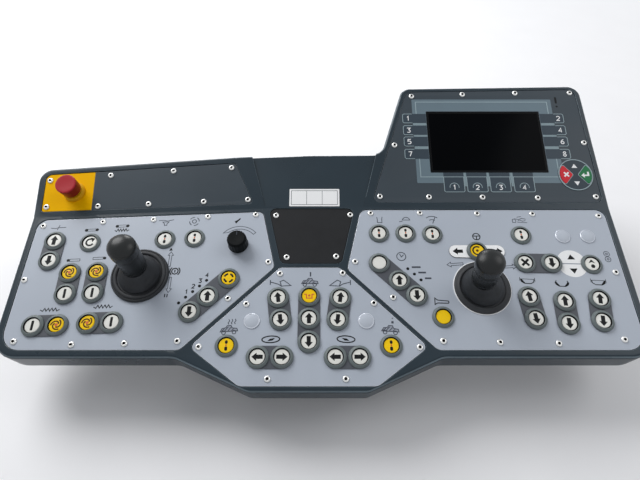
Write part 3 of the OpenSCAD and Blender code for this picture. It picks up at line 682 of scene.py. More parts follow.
# Signs on the caps: lists of (line width or 0 for an area, ink, points)
DARK_INK, ORANGE, BROWN = range(3)
cap_signs = {
    "none": [],
    "up": [(0, DARK_INK, ARROW)],
    "left": [(0, DARK_INK, spun(ARROW, 90))],
    "down": [(0, DARK_INK, spun(ARROW, 180))],
    "right": [(0, DARK_INK, spun(ARROW, -90))],
    "dot": [(0, DARK_INK, [(-4.8, 1), (0, 3), (4.8, 1), (0, 7)]),
            (0, DARK_INK, arc(0.6, -3.6, 2.9, steps=18))],
    "bar": [(0, DARK_INK, ring(rectangle(0, 0, 3.4, 13.4, 0.8), 3))],
    "dash": [(0, DARK_INK, ring(rectangle(0, 4.5, 3.6, 4.8, 1.7), 5)),
             (0, ORANGE, ring(rectangle(0, 0.3, 1.9, 2.6, 0.5), 3)),
             (0, DARK_INK, ring(rectangle(0, -4.2, 3.8, 5.4, 1.5), 5))],
    "cross": [(0, DARK_INK, spun(CROSS, 45))],
    "round": [(2.6, DARK_INK, arc(0, 0, 5.2, 75, 335)),
              (0, DARK_INK, spun([(-4, -1.6), (4, -1.6), (0, 4)], -66, 3.2, 4.6))],
    "swirl": [(1.9, BROWN, spiral(a, 165, 2.9, 7.2)) for a in (20, 140, 260)]
             + [(0, ORANGE, arc(0, 0, 2.2, steps=18))],
    "arcs": [(2.6, DARK_INK, arc(0, 0, 6.0, a, a + 62, 12)) for a in (10, 100, 190, 280)],
    "tray": [(1.5, ORANGE, [(-7, 2.2), (-3.8, 2.2), (-3.8, -3.4), (3.8, -3.4), (3.8, 2.2), (7, 2.2)]),
             (0, ORANGE, arc(0, 0.4, 1.7, steps=16))],
    "ring": [(2.2, DARK_INK, arc(0, 0, 6.2, 55, 330, 28)), (0, BROWN, arc(0, 0, 2.0, steps=18))],
}


def sign_on_cap(mesh, place, sign):
    for width, ink, points in cap_signs[sign]:
        if width:
            stroke(mesh, place, points, width, slot=ink)
        else:
            shape(mesh, place, points, ink)


def row_outline(row):
    """The outline of the plate under linked buttons."""
    x, y, heading, distances = row[:4]
    d = Vector(polar(1, heading))
    s = left_of(d) * BEZEL_R
    start = Vector((x, y)) - d * BEZEL_R
    end = Vector((x, y)) + d * (distances[-1] + BEZEL_R)
    return [(p.x, p.y, BEZEL_R - 0.05) for p in (start - s, end - s, end + s, start + s)]


def holes_of(rows):
    return [circle(x, y, HOLE_R) for x, y, *_ in buttons(rows)]


signs = Mesh()
for side, rows in (("left", left_rows), ("middle", middle_rows), ("right", right_rows + [steering_row])):
    bezels, webs = Mesh(), Mesh()
    caps = {"w": Mesh(), "y": Mesh()}
    for x, y, z, cap, sign, lean in buttons(rows):
        place = DECK @ move(x, y, z)
        lathe(bezels, place, bezel_profile, bezel_shade_bands)
        lathe(caps[cap], place, cap_profile, segments=40)
        sign_on_cap(signs, place @ move(0, 0, CAP_TOP) @ turn(lean, "Z"), sign)
    for row in rows:
        if len(row[3]) > 1:
            plate(webs, DECK, row_outline(row), PLATE_TOP, PLATE_TOP + WEB_T, holes_of([row]), edge=0.35)
    for mesh, name, materials, node_name, slot in (
            (bezels, "button_rings", [BEZEL, BEZEL_WELL_SHADE], "bezels", "bezel"),
            (caps["w"], "white_tops", [WHITE_CAP], "white_caps", "white_cap"),
            (caps["y"], "yellow_tops", [YELLOW_CAP], "yellow_caps", "yellow_cap"),
            (webs, "button_links", [WEB], "webs", "web")):
        mesh.build(f"{side}_{name}", materials, replaces=[f"{side}_{node_name}"], slot=slot)
signs.build("button_signs", [BLACK_PRINT, ORANGE_PRINT, BROWN_PRINT], slot="black_plastic")

# Panels

CUP_HOLE, PLUG_HOLE = 28.3, 8.1
middle_plugs = [(-76.5, 98), (76.5, 98)]
right_plugs = [(369, 226.5), (405.5, 226.5)]


def panel(name, node_name, place, outline, holes, materials, slot,
          low=PLATE_LOW, high=PLATE_TOP, edge=0.6):
    """A plate in the first material, whose upper edge has the second."""
    m = Mesh()
    plate(m, place, outline, low, high, holes, edge, edge_slot=1)
    m.build(name, materials, replaces=[node_name], slot=slot)


def plug_holes(places):
    return [circle(x, y, PLUG_HOLE) for x, y in places]


LIGHT = [PANEL, PANEL_EDGE]
DARK = [DARK_PLATE, DARK_EDGE]
steering_hole = holes_of([steering_row])
panel("left_face", "left_panel", DECK, left_outline,
      holes_of(left_rows) + [circle(*DRIVE_AT, CUP_HOLE), circle(*KNOB_AT, 6)], LIGHT, "panel")
panel("middle_face", "middle_panel", DECK, middle_outline,
      holes_of(middle_rows) + plug_holes(middle_plugs), LIGHT, "panel")
panel("right_face", "right_panel", DECK, right_outline,
      holes_of(right_rows) + steering_hole + [circle(*STEER_AT, CUP_HOLE)] + plug_holes(right_plugs),
      LIGHT, "panel")
panel("cover_face", "centre_cover", DECK, cover_outline, [], [COVER, COVER], "black_plastic")
panel("wing_face", "wing_plate", WING, wing_plate_outline, [], DARK, "dark_plate")
panel("stop_face", "stop_plate", WING, stop_plate_outline, [circle(*STOP_AT, HOLE_R)],
      [YELLOW_PLATE, YELLOW_PLATE], "stop_plate")

plug_profile = [
    (0, -5), (8, -5), (8, 0), (11, 0), (11, 0.5), (10.6, 1.1), (9.8, 1.5), (9.2, 1.3),
    (8.6, 1.5), (6, 2.1), (3, 2.35), (0, 2.4),
]
plug_bands = [1 if 10 < r < 11 else 0 for r, _ in plug_profile]
plugs = Mesh()
for x, y in middle_plugs + right_plugs:
    lathe(plugs, DECK @ move(x, y, PLATE_TOP), plug_profile, plug_bands)
plugs.build("plug_caps", [PLUG, PANEL_EDGE], replaces=["blank_plugs"], slot="plug")

panel("steering_plate_face", "steering_plate", DECK, rectangle(*STEER_BUTTON_AT, 80, 20, 9.9),
      steering_hole, [WHITE_PLATE, GREY_PRINT], "white_cap", PLATE_TOP, PLATE_TOP + WEB_T, 0.3)

# Printed symbols on the panels: each a list of (kind, points)


def spot(x, y, r):
    return "fill", arc(x, y, r, steps=16)


def wheel(x, y, r, steps=16):
    return "loop", arc(x, y, r, steps=steps)


def bent(r, start, end, steps, y=0):
    return "line", arc(0, y, r, start, end, steps)


ELLIPSE = [(9 * x, 3.4 * y) for x, y in arc(0, 0, 1, steps=28)]
BODY = [(-9, -2), (-7, 1.6), (-3, 2.2), (-1.6, 4.4), (2.4, 4.4), (3.6, 1.6), (8.6, 0.8), (9.4, -2)]
MACHINE = [
    ("tone", BODY), ("loop", BODY), wheel(-5.4, -3.2, 1.9), wheel(5.6, -3.2, 1.9),
    ("line", [(-7.4, -1.4), (-4.6, 1.2)]), ("line", [(-4.4, -1.4), (-0.4, 3.2)]),
    ("line", [(-0.8, -1.4), (2.4, 2.4)]), ("line", [(3, -1.4), (5.2, 0.6)]),
]
TRAY = [(-9.4, 3.2), (-8.4, -0.6), (-4.4, -3), (4.4, -3), (8.4, -0.6), (9.4, 3.2)]
CORNER = [(-9.4, 3.2), (-8.4, -0.8), (-4.4, -3.2), (-2.6, -3), (-6, 1), (-7.4, 3.2)]
WAVE = [(-13, 0)] + [(2.4 * k - 9.6, 2.1 if k % 2 else -2.1) for k in range(9)] + [(13, 0)]
glyphs = {
    "bar_both": [spot(-7.8, 0, 2.4), spot(7.8, 0, 2.4), ("thin", rectangle(0, 0, 11.6, 3.4))],
    "bar": [spot(-7.6, 0, 2.2), ("thin", rectangle(1.8, 0, 14.4, 3.4))],
    "wave": [("line", WAVE)],
    "wave_bar": [("line", [(x * 0.8, y - 4.2) for x, y in WAVE]), spot(-7.8, 2.6, 2.4),
                 spot(7.8, 2.6, 2.4), ("thin", rectangle(0, 2.6, 11.6, 3.4))],
    "pivot": [("line", [(-10, -0.6), (-4, -1.4), (0, 0), (10, 0.8)]), ("line", [(-1, -3.6), (1, 4)])],
    "funnel": [("line", [(-9.5, 0), (-4, 0.6), (2, -0.6), (10, 1)]),
               ("loop", [(-4, -2), (4, -2), (1.6, -4.8), (1.6, -7), (-1.6, -7), (-1.6, -4.8)])],
    "shake": [wheel(0, 0, 2.2)] + [bent(5.2, a, a + 60, 8) for a in (0, 90, 180, 270)],
    "machine_heat": MACHINE + [("line", [(x, 5.6), (x - 0.8, 7.4), (x + 0.8, 9.4), (x, 11.4)])
                               for x in (0, 3.4, 6.8)],
    "machine_level": MACHINE + [("fill", rectangle(0.8, 9.4, 1.5, 5.4))],
    "machine_dot": MACHINE + [("fill", rectangle(2.4, 8.2, 2.4, 2.6)),
                              ("fill", rectangle(2.2, 12.6, 1.2, 1.2))],
    "wing": [("line", [(-11, 3.6), (-11, -1.6)]), ("line", [(-11, 1.6), (-3, -0.8), (0, -2.8)]),
             ("loop", [(0, -2.8), (9.6, -2.2), (5, 1.4), (2, 3.6), (-1.4, 2)])],
    "shift": [("loop", ELLIPSE), ("fill", [(-3.6, -1.7), (1.4, -1.4), (4.4, 1.2), (-1, 0.6)])],
    "tank": [("line", [(-3.4, 4.2), (-2.8, 1), (-2.8, -3.8), (2.8, -3.8), (2.8, 1), (3.4, 4.2)])],
    "dome": [("loop", arc(0.6, -1.4, 4.6, 10, 170, 12)), ("line", [(-8, -3), (-4, -2.2)])],
    "wiper": [bent(10.4, 52, 128, 12, -6.4), bent(6, 58, 122, 8, -6.4),
              ("line", [(0.4, -5.4), (3.6, 2.6)])],
    "lights": [("loop", [(-10.4, -3.8), (-10.4, 1.2), (-7, 2.6), (-5.4, -0.4), (-6, -3.8)]),
               ("line", [(-7, 2.6), (-1, 1.4), (4, 3.2), (10, 1.8)]),
               ("line", [(-2.6, -1), (1, 0.4), (4.4, -1.6), (9, -0.6)]),
               ("line", [(-3.6, -3.2), (10.8, -4.2)]), ("line", [(-3, 5.4), (3.6, 6.4)])],
    "gauge": [wheel(0, 0, 4.8, 22), ("line", [(-1.6, 3), (0, -0.6), (2.6, 2)])],
    "wheel": [wheel(0, 0, 4.6, 24), ("line", [(-4.2, 0.8), (4.2, 0.8)]),
              ("line", [(0, 0.2), (0, -4.2)])],
    "horn": [("loop", [(-9.6, 4.4), (-6, 1.6), (8.6, 1), (9.6, -0.6), (8.6, -2.2), (-6, -2.6),
                       (-9.6, -5)])],
    "long_arrow": [("loop", [(-12, 0), (-6.4, 3.8), (-6.4, 1.6), (11, 1.6), (11, -1.6), (-6.4, -1.6),
                             (-6.4, -3.8)])],
    "brake": [wheel(0, 0, 3.3, 20), bent(5.2, 130, 230, 8), bent(5.2, -50, 50, 8),
              ("line", [(0, -1.6), (0, 1.6)])],
    "tray": [("line", TRAY), ("thin", [(-9.8, 3.6), (9.8, 3.6)]), ("fill", CORNER),
             ("thin", [(-10.4, 6), (-10.4, 0)]), ("thin", [(10.4, 6), (10.4, 0)])],
    "tray_mid": [("line", TRAY), ("fill", CORNER), ("fill", [(-x, y) for x, y in CORNER[::-1]]),
                 ("line", [(-7.4, 5.4), (-9.6, 1.4)]), ("line", [(7.4, 5.4), (9.6, 1.4)])],
    "link": [wheel(x, y, r, steps) for r, steps in ((4, 20), (1.4, 10))
             for x, y in ((0, 4.2), (1.6, -4.2))],
    "up_mark": [("fill", [(-2.6, -2), (2.6, -2), (0, 2.6)])],
    "pair_mark": [("fill", rectangle(-1.6, 0, 1.5, 5)), ("fill", rectangle(1.6, 0, 1.5, 5))],
    "slope": [("loop", arc(0, 0, 31.5, 140, 42, 18) + arc(0, 0, 27, 42, 128, 18))],
    "run": [("fill", [(-3.4, -1), (0.4, 1.2), (3, 4), (4, 2.6), (1.6, -0.2), (-1, -3.6), (-2.4, -3)])],
}
# Placed symbols: (name, size, x, y, heading, ink), where a size below 0 mirrors the symbol
BLACK, GREY, WHITE, BAND = range(4)
placed_glyphs = [
    ("pivot", 1.1, -371, 241.2, 0, GREY), ("bar_both", 1, -321, 237.3, 3, BLACK),
    ("wave_bar", 1, -277, 241.5, 3, BLACK), ("bar", 1, -336.3, 188.2, 3, BLACK),
    ("bar", -1, -300.1, 191.2, 3, BLACK), ("wave", 1, -350.4, 114.1, 2, BLACK),
    ("wave", 1, -279.5, 118.6, 3, BLACK), ("funnel", 1.15, -214.1, 253.4, 2, GREY),
    ("shake", 1.35, -171.9, 252.1, 0, GREY), ("up_mark", 1, -199.8, 205.6, 0, BLACK),
    ("long_arrow", 1, -198.8, 189.6, -90, GREY), ("brake", 1.35, -189.5, 171.1, 0, BLACK),
    ("long_arrow", 1, -194.4, 150.8, 90, GREY), ("pair_mark", 1, -196.8, 134.4, 0, BLACK),
    ("slope", 1, -103, 212, 0, GREY), ("run", 1.2, -108, 253.2, 0, BLACK),
    ("machine_heat", 1.25, -106.2, 86.4, 4, GREY), ("wing", 1.4, -38.9, 152.4, 0, GREY),
    ("machine_level", 1.25, 0.4, 154.6, 0, GREY), ("wing", -1.4, 41.6, 152.4, 0, GREY),
    ("shift", 1.3, -49.8, 73.2, 3, BLACK), ("shift", -1.3, 48.8, 73.4, -3, BLACK),
    ("machine_dot", 1.25, 107.7, 86.4, -4, GREY), ("tank", 1.2, 103.3, 254.7, 0, GREY),
    ("dome", 1.2, 142.1, 255.2, 0, GREY), ("wiper", 1.3, 181.4, 255.6, 0, GREY),
    ("gauge", 1.35, 130.9, 194.1, 0, GREY), ("wheel", 1.15, 243.1, 226.4, 0, BLACK),
    ("horn", 1, 181, 126, -3, BLACK), ("long_arrow", 1, 206.6, 181.8, 4, GREY),
    ("long_arrow", 1, 281, 177.8, 184, GREY), ("lights", 1, 311.3, 254, 0, GREY),
    ("tray", 1, 303.6, 155.4, -3, BLACK), ("tray_mid", 1, 350.9, 151.2, -3, BLACK),
    ("tray", -1, 402.2, 153.3, -3, BLACK), ("link", 1, 424.6, 194.1, -12, GREY),
]
left_dots = [(-177.8, 123.8), (-169.4, 132.1), (-160.7, 140.3), (-152.2, 148.6), (-143.4, 157.2)]
right_dots = [(138.6, 174.9), (147.2, 166.6), (155.6, 157.8)]
DIGIT_H = 1.6
digit_lines = {
    1: [(0.25, 1.2), (0.6, 1.6), (0.6, 0)],
    2: [(0, 1.3), (0.25, 1.6), (0.75, 1.6), (1, 1.3), (1, 1), (0, 0), (1, 0)],
    3: [(0, 1.6), (1, 1.6), (0.5, 0.95), (0.9, 0.75), (1, 0.4), (0.75, 0), (0, 0)],
    4: [(0.75, 0), (0.75, 1.6), (0, 0.5), (1, 0.5)],
    5: [(1, 1.6), (0.1, 1.6), (0, 0.9), (0.7, 0.95), (1, 0.6), (0.95, 0.25), (0.7, 0), (0, 0)],
    6: [(0.85, 1.6), (0.2, 1), (0, 0.5), (0.2, 0), (0.8, 0), (1, 0.4), (0.8, 0.8), (0.2, 0.8)],
    7: [(0, 1.6), (1, 1.6), (0.4, 0)],
    8: [(0.5, 0.85), (0.1, 1.2), (0.3, 1.6), (0.7, 1.6), (0.9, 1.2), (0, 0.4), (0.3, 0), (0.7, 0),
        (1, 0.4), (0.5, 0.85)],
}


def digit(mesh, place, value, height, width, slot, z=0.0):
    size = height / DIGIT_H
    points = [((x - 0.5) * size, (y - DIGIT_H / 2) * size) for x, y in digit_lines[value]]
    stroke(mesh, place, points, width, slot=slot, z=z)


def print_glyph(mesh, place, name, ink):
    width = 1.2 if ink == BLACK else 0.9
    for kind, points in glyphs[name]:
        if kind == "tone":
            shape(mesh, place, points, BAND, t=PRINT_T / 2)
        elif kind == "thin":
            stroke(mesh, place, points, 0.7, len(points) > 2, ink)
        elif kind == "fill":
            shape(mesh, place, points, ink)
        else:
            stroke(mesh, place, points, width, kind == "loop", ink)


prints = Mesh()
face = DECK @ move(0, 0, PLATE_TOP)
for name, size, x, y, heading, ink in placed_glyphs:
    scale = Matrix.Diagonal((size, abs(size), 1, 1))
    print_glyph(prints, face @ move(x, y) @ turn(heading, "Z") @ scale, name, ink)
for x, y in left_dots + right_dots:
    shape(prints, face, arc(x, y, 2.2, steps=18), BLACK)
for k, (x, y) in enumerate(left_dots[1:]):
    digit(prints, face @ move(x, y + 8), k + 1, 5.6, 1.3, BLACK)
for k, (x, y) in enumerate(right_dots):
    shape(prints, face, rectangle(x + 12 - 0.9 * k, y + 2.4, 12.6 - 1.8 * k, 2.6), GREY)
# The white disc under the button with the dot, with a line and two marks on it
shape(prints, face, arc(372.3, 183, 21, steps=64), WHITE)
stroke(prints, face, [(351.7, 183.2), (392.9, 182)], 1.5, slot=BAND, z=PRINT_T)
shape(prints, face @ move(372.9, 193), [(-5.6, -3.6), (5.6, -3.6), (0, 4.2)], BLACK, PRINT_T)
shape(prints, face @ move(372.4, 171.6), [(-5.6, 3.6), (0, -4.2), (5.6, 3.6)], BLACK, PRINT_T)
plate_arrow = [(-7.6, 0), (-0.4, 5.4), (-0.4, 2.6), (7.2, 2.6), (7.2, -2.6), (-0.4, -2.6), (-0.4, -5.4)]
for x, heading in ((-27.4, 0), (29, 180)):
    arrow_place = face @ move(STEER_BUTTON_AT[0] + x, STEER_BUTTON_AT[1], WEB_T)
    shape(prints, arrow_place @ turn(heading, "Z"), plate_arrow, BLACK)
prints.build("panel_prints", [BLACK_PRINT, GREY_PRINT, WHITE_PRINT, BAND_PRINT], slot="black_plastic")

LABEL_AT, LABEL_T = (6.2, 15.6), 0.3
label = Mesh()
plate(label, CENTRE, rectangle(*LABEL_AT, 76, 29.6, 1.2), -0.05, LABEL_T, edge=0.08)
stroke(label, CENTRE, rectangle(*LABEL_AT, 70, 23.6), 0.7, True, 1, LABEL_T)
for x in (-5.6, 18):
    stroke(label, CENTRE, [(x, 4.1), (x, 27.1)], 0.6, slot=1, z=LABEL_T)
label.build("blank_label", [WHITE_PRINT, GREY_PRINT], slot="white_cap")

# Screws

deck_screws = [
    (-394, 243.8), (-307.2, 250.8), (-232.9, 254.9), (-152.6, 260.1), (-81.5, 263.6),
    (-58.8, 185.2), (-111.2, 130.2), (-172.3, 70.7), (-241, 67.6), (-310, 66), (-386.4, 70.1),
    (-397.4, 157.5), (-41.4, 167.2), (-85.6, 122.1), (-143.5, 63.1), (-52, 22.1), (47.3, 22.1),
    (144.7, 62.6), (87.8, 123.4), (46.4, 168), (90.4, 266), (164.3, 266.4), (249.8, 265.3),
    (332.5, 264.8), (430.7, 261.3), (430.1, 169.2), (414.1, 72.8), (326.7, 67.5), (250.3, 69.2),
    (176.3, 70.9), (114.8, 131.8), (64.5, 185.7), (-50.9, 262.2), (59.9, 263.4), (37.7, 194),
    (-33, 192.8),
]
wing_screws = [
    (-396.3, 60.4), (-396.5, 16.5), (-304.9, 65.5), (-319.4, 14.5), (-208.9, 69), (-243.7, 15),
    (-160.8, 15.4), (-119.5, 71), (-94, 16),
]
display_screws = [
    (164.9, 196.9), (248.7, 200.4), (335.6, 202.9), (425.6, 203.5), (432.8, 110.3),
    (434.5, 16.8), (345.6, 14.8), (262, 16), (180.5, 16.3), (105.9, 17.3), (132.6, 106),
]
# A screw head from its edge to its socket: (share of the radius, share of the height)
screw_shares = [(0.96, -0.01), (1, 0.15), (0.97, 0.4), (0.87, 0.7), (0.72, 0.9), (0.56, 1), (0.5, 1)]
SCREW_STEPS = 24


def hexagon(a):
    """How far a hexagon's edge lies from its centre at an angle, with 1 at the middle of a side."""
    return 1 / math.cos((a + math.pi / 6) % (math.pi / 3) - math.pi / 6)


socket_shares = [0.44 * hexagon(2 * math.pi * i / SCREW_STEPS) for i in range(SCREW_STEPS)]


def screw(mesh, place, r=4.5, h=2.0):
    """A button-head screw with a hexagon socket."""
    edge = arc(0, 0, r, steps=SCREW_STEPS)
    sections = [[(x * share, y * share, h * rise) for x, y in edge] for share, rise in screw_shares]
    for rise in (0.98, 0.25):
        sections.append([(x * share, y * share, h * rise) for share, (x, y) in zip(socket_shares, edge)])
    # The socket's walls and floor take the painted shade
    slots = [0] * (SCREW_STEPS * len(screw_shares)) + [1] * SCREW_STEPS + [0, 1]
    mesh.skin(place, sections, slots)


screws = Mesh()
screw_groups = ((deck_screws, DECK), (wing_screws, WING), (display_screws, DISPLAY))
for k, (points, place) in enumerate(screw_groups):
    for i, (x, y) in enumerate(points):
        screw(screws, place @ move(x, y, PLATE_TOP) @ turn(37 * i + 11 * k, "Z"))
screws.build("panel_screws", [STEEL, SOCKET_SHADE], slot="steel")

# Display

SCREEN_AT = (278, 113)
SCREEN_W, SCREEN_H = 183, 110


def screen_outline(less=0.0):
    return rectangle(*SCREEN_AT, SCREEN_W - less, SCREEN_H - less, 1.2)


panel("display_face", "display_plate", DISPLAY, display_plate_outline, [screen_outline()], DARK,
      "dark_plate")
screen = Mesh()
plate(screen, DISPLAY, screen_outline(0.6), PLATE_LOW, PLATE_TOP - 0.4, [screen_outline(7.6)],
      edge=0.2, slot=1)
plate(screen, DISPLAY, screen_outline(7.8), PLATE_LOW + 0.2, PLATE_TOP - 0.55, edge=0.1)
screen.build("screen_glass", [SCREEN, SCREEN_RIM], replaces=["display_screen"], slot="screen")

# The printed frame round the screen, with its membrane keys and plain numbers
SLATE, PALE, CELL, DARK_MARK, BRIGHT, STRIPE = range(6)
STRIPE_Z, CELL_Z, LINE_Z = 0.1, 0.14, 0.2
LINE_W, DIGIT_W = 0.9, 1.35
key_heights = (155, 133.2, 112.6, 90.3)
KEY_HALF, KEY_CUT = 8.3, 2
low_keys = (205.5, 241, 276.5, 313)
LOW_KEY_W = 31
frame_print = Mesh()
glass = DISPLAY @ move(0, 0, PLATE_TOP)
plate(frame_print, glass, rectangle(278.2, 115.5, 227.5, 151, 1.5), -0.03, PRINT_T,
      [screen_outline(-0.6)], edge=0.03, slot=SLATE)
stroke(frame_print, glass, rectangle(277.8, 118.2, 214.4, 135.6), 1.2, True, PALE, 0.09)
for high, low in zip(key_heights, key_heights[1:]):
    for side in (-1, 1):
        stripe = rectangle(SCREEN_AT[0] + side * 103, (high + low) / 2, 21.6, high - low - 17.6)
        shape(frame_print, glass, stripe, STRIPE, STRIPE_Z)
for x in low_keys[1:]:
    shape(frame_print, glass, rectangle(x - 2.3, 46, 3, 23), STRIPE, STRIPE_Z)
for k, y in enumerate(key_heights):
    for side, value in ((-1, 2 * k + 1), (1, 2 * k + 2)):
        inner, neck, outer = (SCREEN_AT[0] + side * d for d in (92.2, 114.5, 129.8))
        cell = rectangle((inner + outer) / 2, y, abs(outer - inner), 17)
        shape(frame_print, glass, cell, CELL, CELL_Z)
        cut = outer - side * KEY_CUT
        half = [(neck, KEY_HALF), (cut, KEY_HALF), (outer, KEY_HALF - KEY_CUT)]
        edge = [(x, y + h) for x, h in half] + [(x, y - h) for x, h in half[::-1]]
        stroke(frame_print, glass, edge, LINE_W, False, PALE, LINE_Z)
        digit(frame_print, glass @ move(outer - side * 8.5, y), value, 7.8, DIGIT_W, BRIGHT, LINE_Z)
for k, x in enumerate(low_keys):
    middle = x + LOW_KEY_W / 2
    shape(frame_print, glass, rectangle(middle, 41.2, LOW_KEY_W, 32.6), CELL, CELL_Z)
    edge = [(0, 50.4), (0, 26.6), (1.8, 25), (29.2, 25), (LOW_KEY_W, 26.6), (LOW_KEY_W, 50.4)]
    stroke(frame_print, glass @ move(x, 0), edge, LINE_W, True, PALE, LINE_Z)
    stroke(frame_print, glass, arc(middle, 33, 7, -10, 190, 18), LINE_W, False, PALE, LINE_Z)
    digit(frame_print, glass @ move(middle, 32.6), k + 1, 7.2, DIGIT_W, BRIGHT, LINE_Z)
shape(frame_print, glass, ring(rectangle(400.5, 189.4, 3.4, 12.6, 1.6), 5), DARK_MARK)
shape(frame_print, glass, arc(400.6, 177.6, 1.8, steps=16), DARK_MARK)
frame_inks = [SLATE_PRINT, PALE_PRINT, CELL_PRINT, BLACK_PRINT, WHITE_PRINT, STRIPE_PRINT]
frame_print.build("display_prints", frame_inks, slot="dark_plate")

DISC_TOP, KEY_TOP = 0.8, 1.6
KEY_RIM, KEY_HALF_ANGLE = 24.2, 43
nav_place = DISPLAY @ move(410, 54, PLATE_TOP)
disc_profile = soft([(0, 0), (27, 0), (27, 0.55), (26.6, DISC_TOP), (0, DISC_TOP)], 0.2)
turned_piece("nav_disc", "nav_pad", nav_place, disc_profile, [DARK_PLATE], "dark_plate", segments=72)


def key_outline(grow=0.0):
    """A quarter of the disc with rounded corners, opening towards +X."""
    rim = KEY_RIM + grow
    half = KEY_HALF_ANGLE + grow
    outline = [(4.4 - grow, 0, 2.6)]
    for k in range(-2, 3):
        at_end = abs(k) == 2
        r = rim if at_end else rim / math.cos(math.radians(half / 4))
        outline.append((*polar(r, half * k / 2), 2.6 if at_end else 18))
    return outline


def nav_key(name, node_name, heading, material, slot):
    m = Mesh()
    steps = [(0, 0.75), (0, 1.3), (0.1, 1.5), (0.4, KEY_TOP)]
    loft(m, nav_place @ turn(heading, "Z"), key_outline(), steps, 5)
    m.build(name, [material], replaces=[node_name], slot=slot)


nav_key("nav_key_red", "nav_red_key", 180, RED_KEY, "red_key")
nav_key("nav_key_green", "nav_green_key", 0, GREEN_KEY, "green_key")
nav_prints = Mesh()
on_disc, on_key = nav_place @ move(0, 0, DISC_TOP), nav_place @ move(0, 0, KEY_TOP)
stroke(nav_prints, on_disc, arc(0, 0, 25.9, steps=72), 1.3, True)
for heading in (0, 180):
    turned_disc = on_disc @ turn(heading, "Z")
    stroke(nav_prints, turned_disc, ring(key_outline(0.9), 5), 0.9, True)
    shape(nav_prints, turned_disc, [(-4.4, 11.6), (4.4, 11.6), (0, 18.6)], 1)
shape(nav_prints, on_key @ move(-14.6, 0) @ turn(45, "Z"), [(x * 0.72, y * 0.72) for x, y in CROSS], 1)
shape(nav_prints, on_key, [(8, -1.6), (13, -5.8), (13, -2.8), (20.4, -2.8), (20.4, 4.4), (17.6, 4.4),
                           (17.6, -0.4), (13, -0.4), (13, 2.6)], 1)
nav_prints.build("nav_prints", [PALE_PRINT, WHITE_PRINT], slot="dark_plate")

# Levers

BOOT_FOOT, BOOT_TOP = 4.3, 30
PIVOT = 18
NECK_R, GRIP_R = 16.75, 18
STEM_R = 6.2
# The boot's wall, as (height, radius): up its folds outside and down inside
boot_section = [
    (BOOT_FOOT, 29), (6, 29), (7.4, 28.8), (9.2, 28), (11, 26.9), (12.6, 26.2), (14.4, 25.4), (16.4, 24),
    (18.4, 22.6), (20.2, 21.6), (22, 20.7), (24, 19.4), (26, 18.4), (27.8, 17.6), (29.2, 17),
    (BOOT_TOP, 16.2), (BOOT_TOP, 7), (28, 7), (28, 15.2), (24, 17.4), (18, 20.6), (12, 23.4), (7, 24.6),
    (BOOT_FOOT, 25),
]
cup_profile = [(25, -27), (28, -27), (28, 0), (40, 0)]
drive_flange = cup_profile + [
    (40, 2.4), (39.6, 3.7), (38.7, 4.6), (37.6, 4.8), (37, 4), (36.5, 4), (36, 5.1), (35, 5.8),
    (33.6, 6), (32.4, 5.9), (31.2, 5.2), (30.4, 4), (25, 4),
]
# The steering flange has a pale edge
PALE_BANDS = (3, 4)
steering_flange = cup_profile + [
    (40, 0.8), (38.9, 1.1), (38.8, 2), (38, 2.7), (36, 3.4), (34, 4.2), (33.2, 5), (32.2, 5.2),
    (31.2, 4.9), (30.4, 4), (25, 4),
]


def grip_profile(lean, height):
    """A thick round handle with a seam under its crowned top, resting on a leaning boot."""
    a = math.radians(lean)
    foot = (BOOT_TOP + 0.3 + PIVOT + NECK_R * math.sin(a)) / math.cos(a) - PIVOT
    seam = height - 1.3 * GRIP_R
    crown = []
    for x, y in (polar(GRIP_R, 8 * k) for k in range(12)):
        crown.append((x, height - 0.6 * (GRIP_R - y)))
    return [
        (0, height - 22), (STEM_R, height - 22), (STEM_R, foot), (14.6, foot), (16, foot + 0.6),
        (NECK_R, foot + 2), (NECK_R, foot + 5), (16.4, foot + 5.6), (NECK_R, foot + 6.2),
        (16.9, height - 1.9 * GRIP_R), (17.3, seam - 3), (17.9, seam - 0.5), (17.5, seam),
        (17.9, seam + 0.5), *crown, (0, height),
    ]


def lever(name, at, facing, lean, height, flange, pale_bands):
    """A lever's flange, its boot, and its handle. Facing and lean are in degrees."""
    place = DECK @ move(*at, PLATE_TOP) @ turn(facing, "Z")
    body = f"{name}_lever"
    flange_bands = [1 if k in pale_bands else 0 for k in range(len(flange))]
    turned_piece(f"{name}_flange", f"{name}_base", place, flange, [RUBBER, WHITE_PRINT], "rubber",
                 flange_bands, segments=80)
    top = math.tan(math.radians(lean)) * (BOOT_TOP + PIVOT)
    sections = []
    for z, r in boot_section:
        shift = top * max(z - BOOT_FOOT, 0) / (BOOT_TOP - BOOT_FOOT)
        sections.append([(x, y, z) for x, y in arc(shift, 0, r, steps=56)])
    m = Mesh()
    m.skin(place, sections, closed=True)
    boot = m.build(f"{name}_gaiter", [RUBBER], None, [f"{name}_boot"], "rubber")
    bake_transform(boot)
    leaning = place @ move(0, 0, -PIVOT) @ turn(lean, "Y") @ move(0, 0, PIVOT)
    turned_piece(f"{name}_handle", f"{name}_grip", leaning, grip_profile(lean, height), [GRIP], "grip",
                 body=body, angle=50, segments=72)


lever("drive", DRIVE_AT, 0, 3, 98, drive_flange, ())
lever("steering", STEER_AT, 180, 8, 94, steering_flange, PALE_BANDS)
for stem in ("drive_stem", "steering_stem"):
    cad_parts[stem].data.materials.clear()
    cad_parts[stem].data.materials.append(STEEL)

# Knob

knob_place = DECK @ move(*KNOB_AT, PLATE_TOP)
bush_profile = soft([(3.06, -9), (5.85, -9), (5.85, 0), (9, 0), (9, 3), (3.06, 3)], 0.3)
turned_piece("knob_bush_ring", "knob_bush", knob_place, bush_profile, [STEEL], "steel")


def flutes(a, z):
    return 1 - (0.035 * (0.5 + 0.5 * math.cos(20 * a)) if 4.5 < z < 20 else 0)


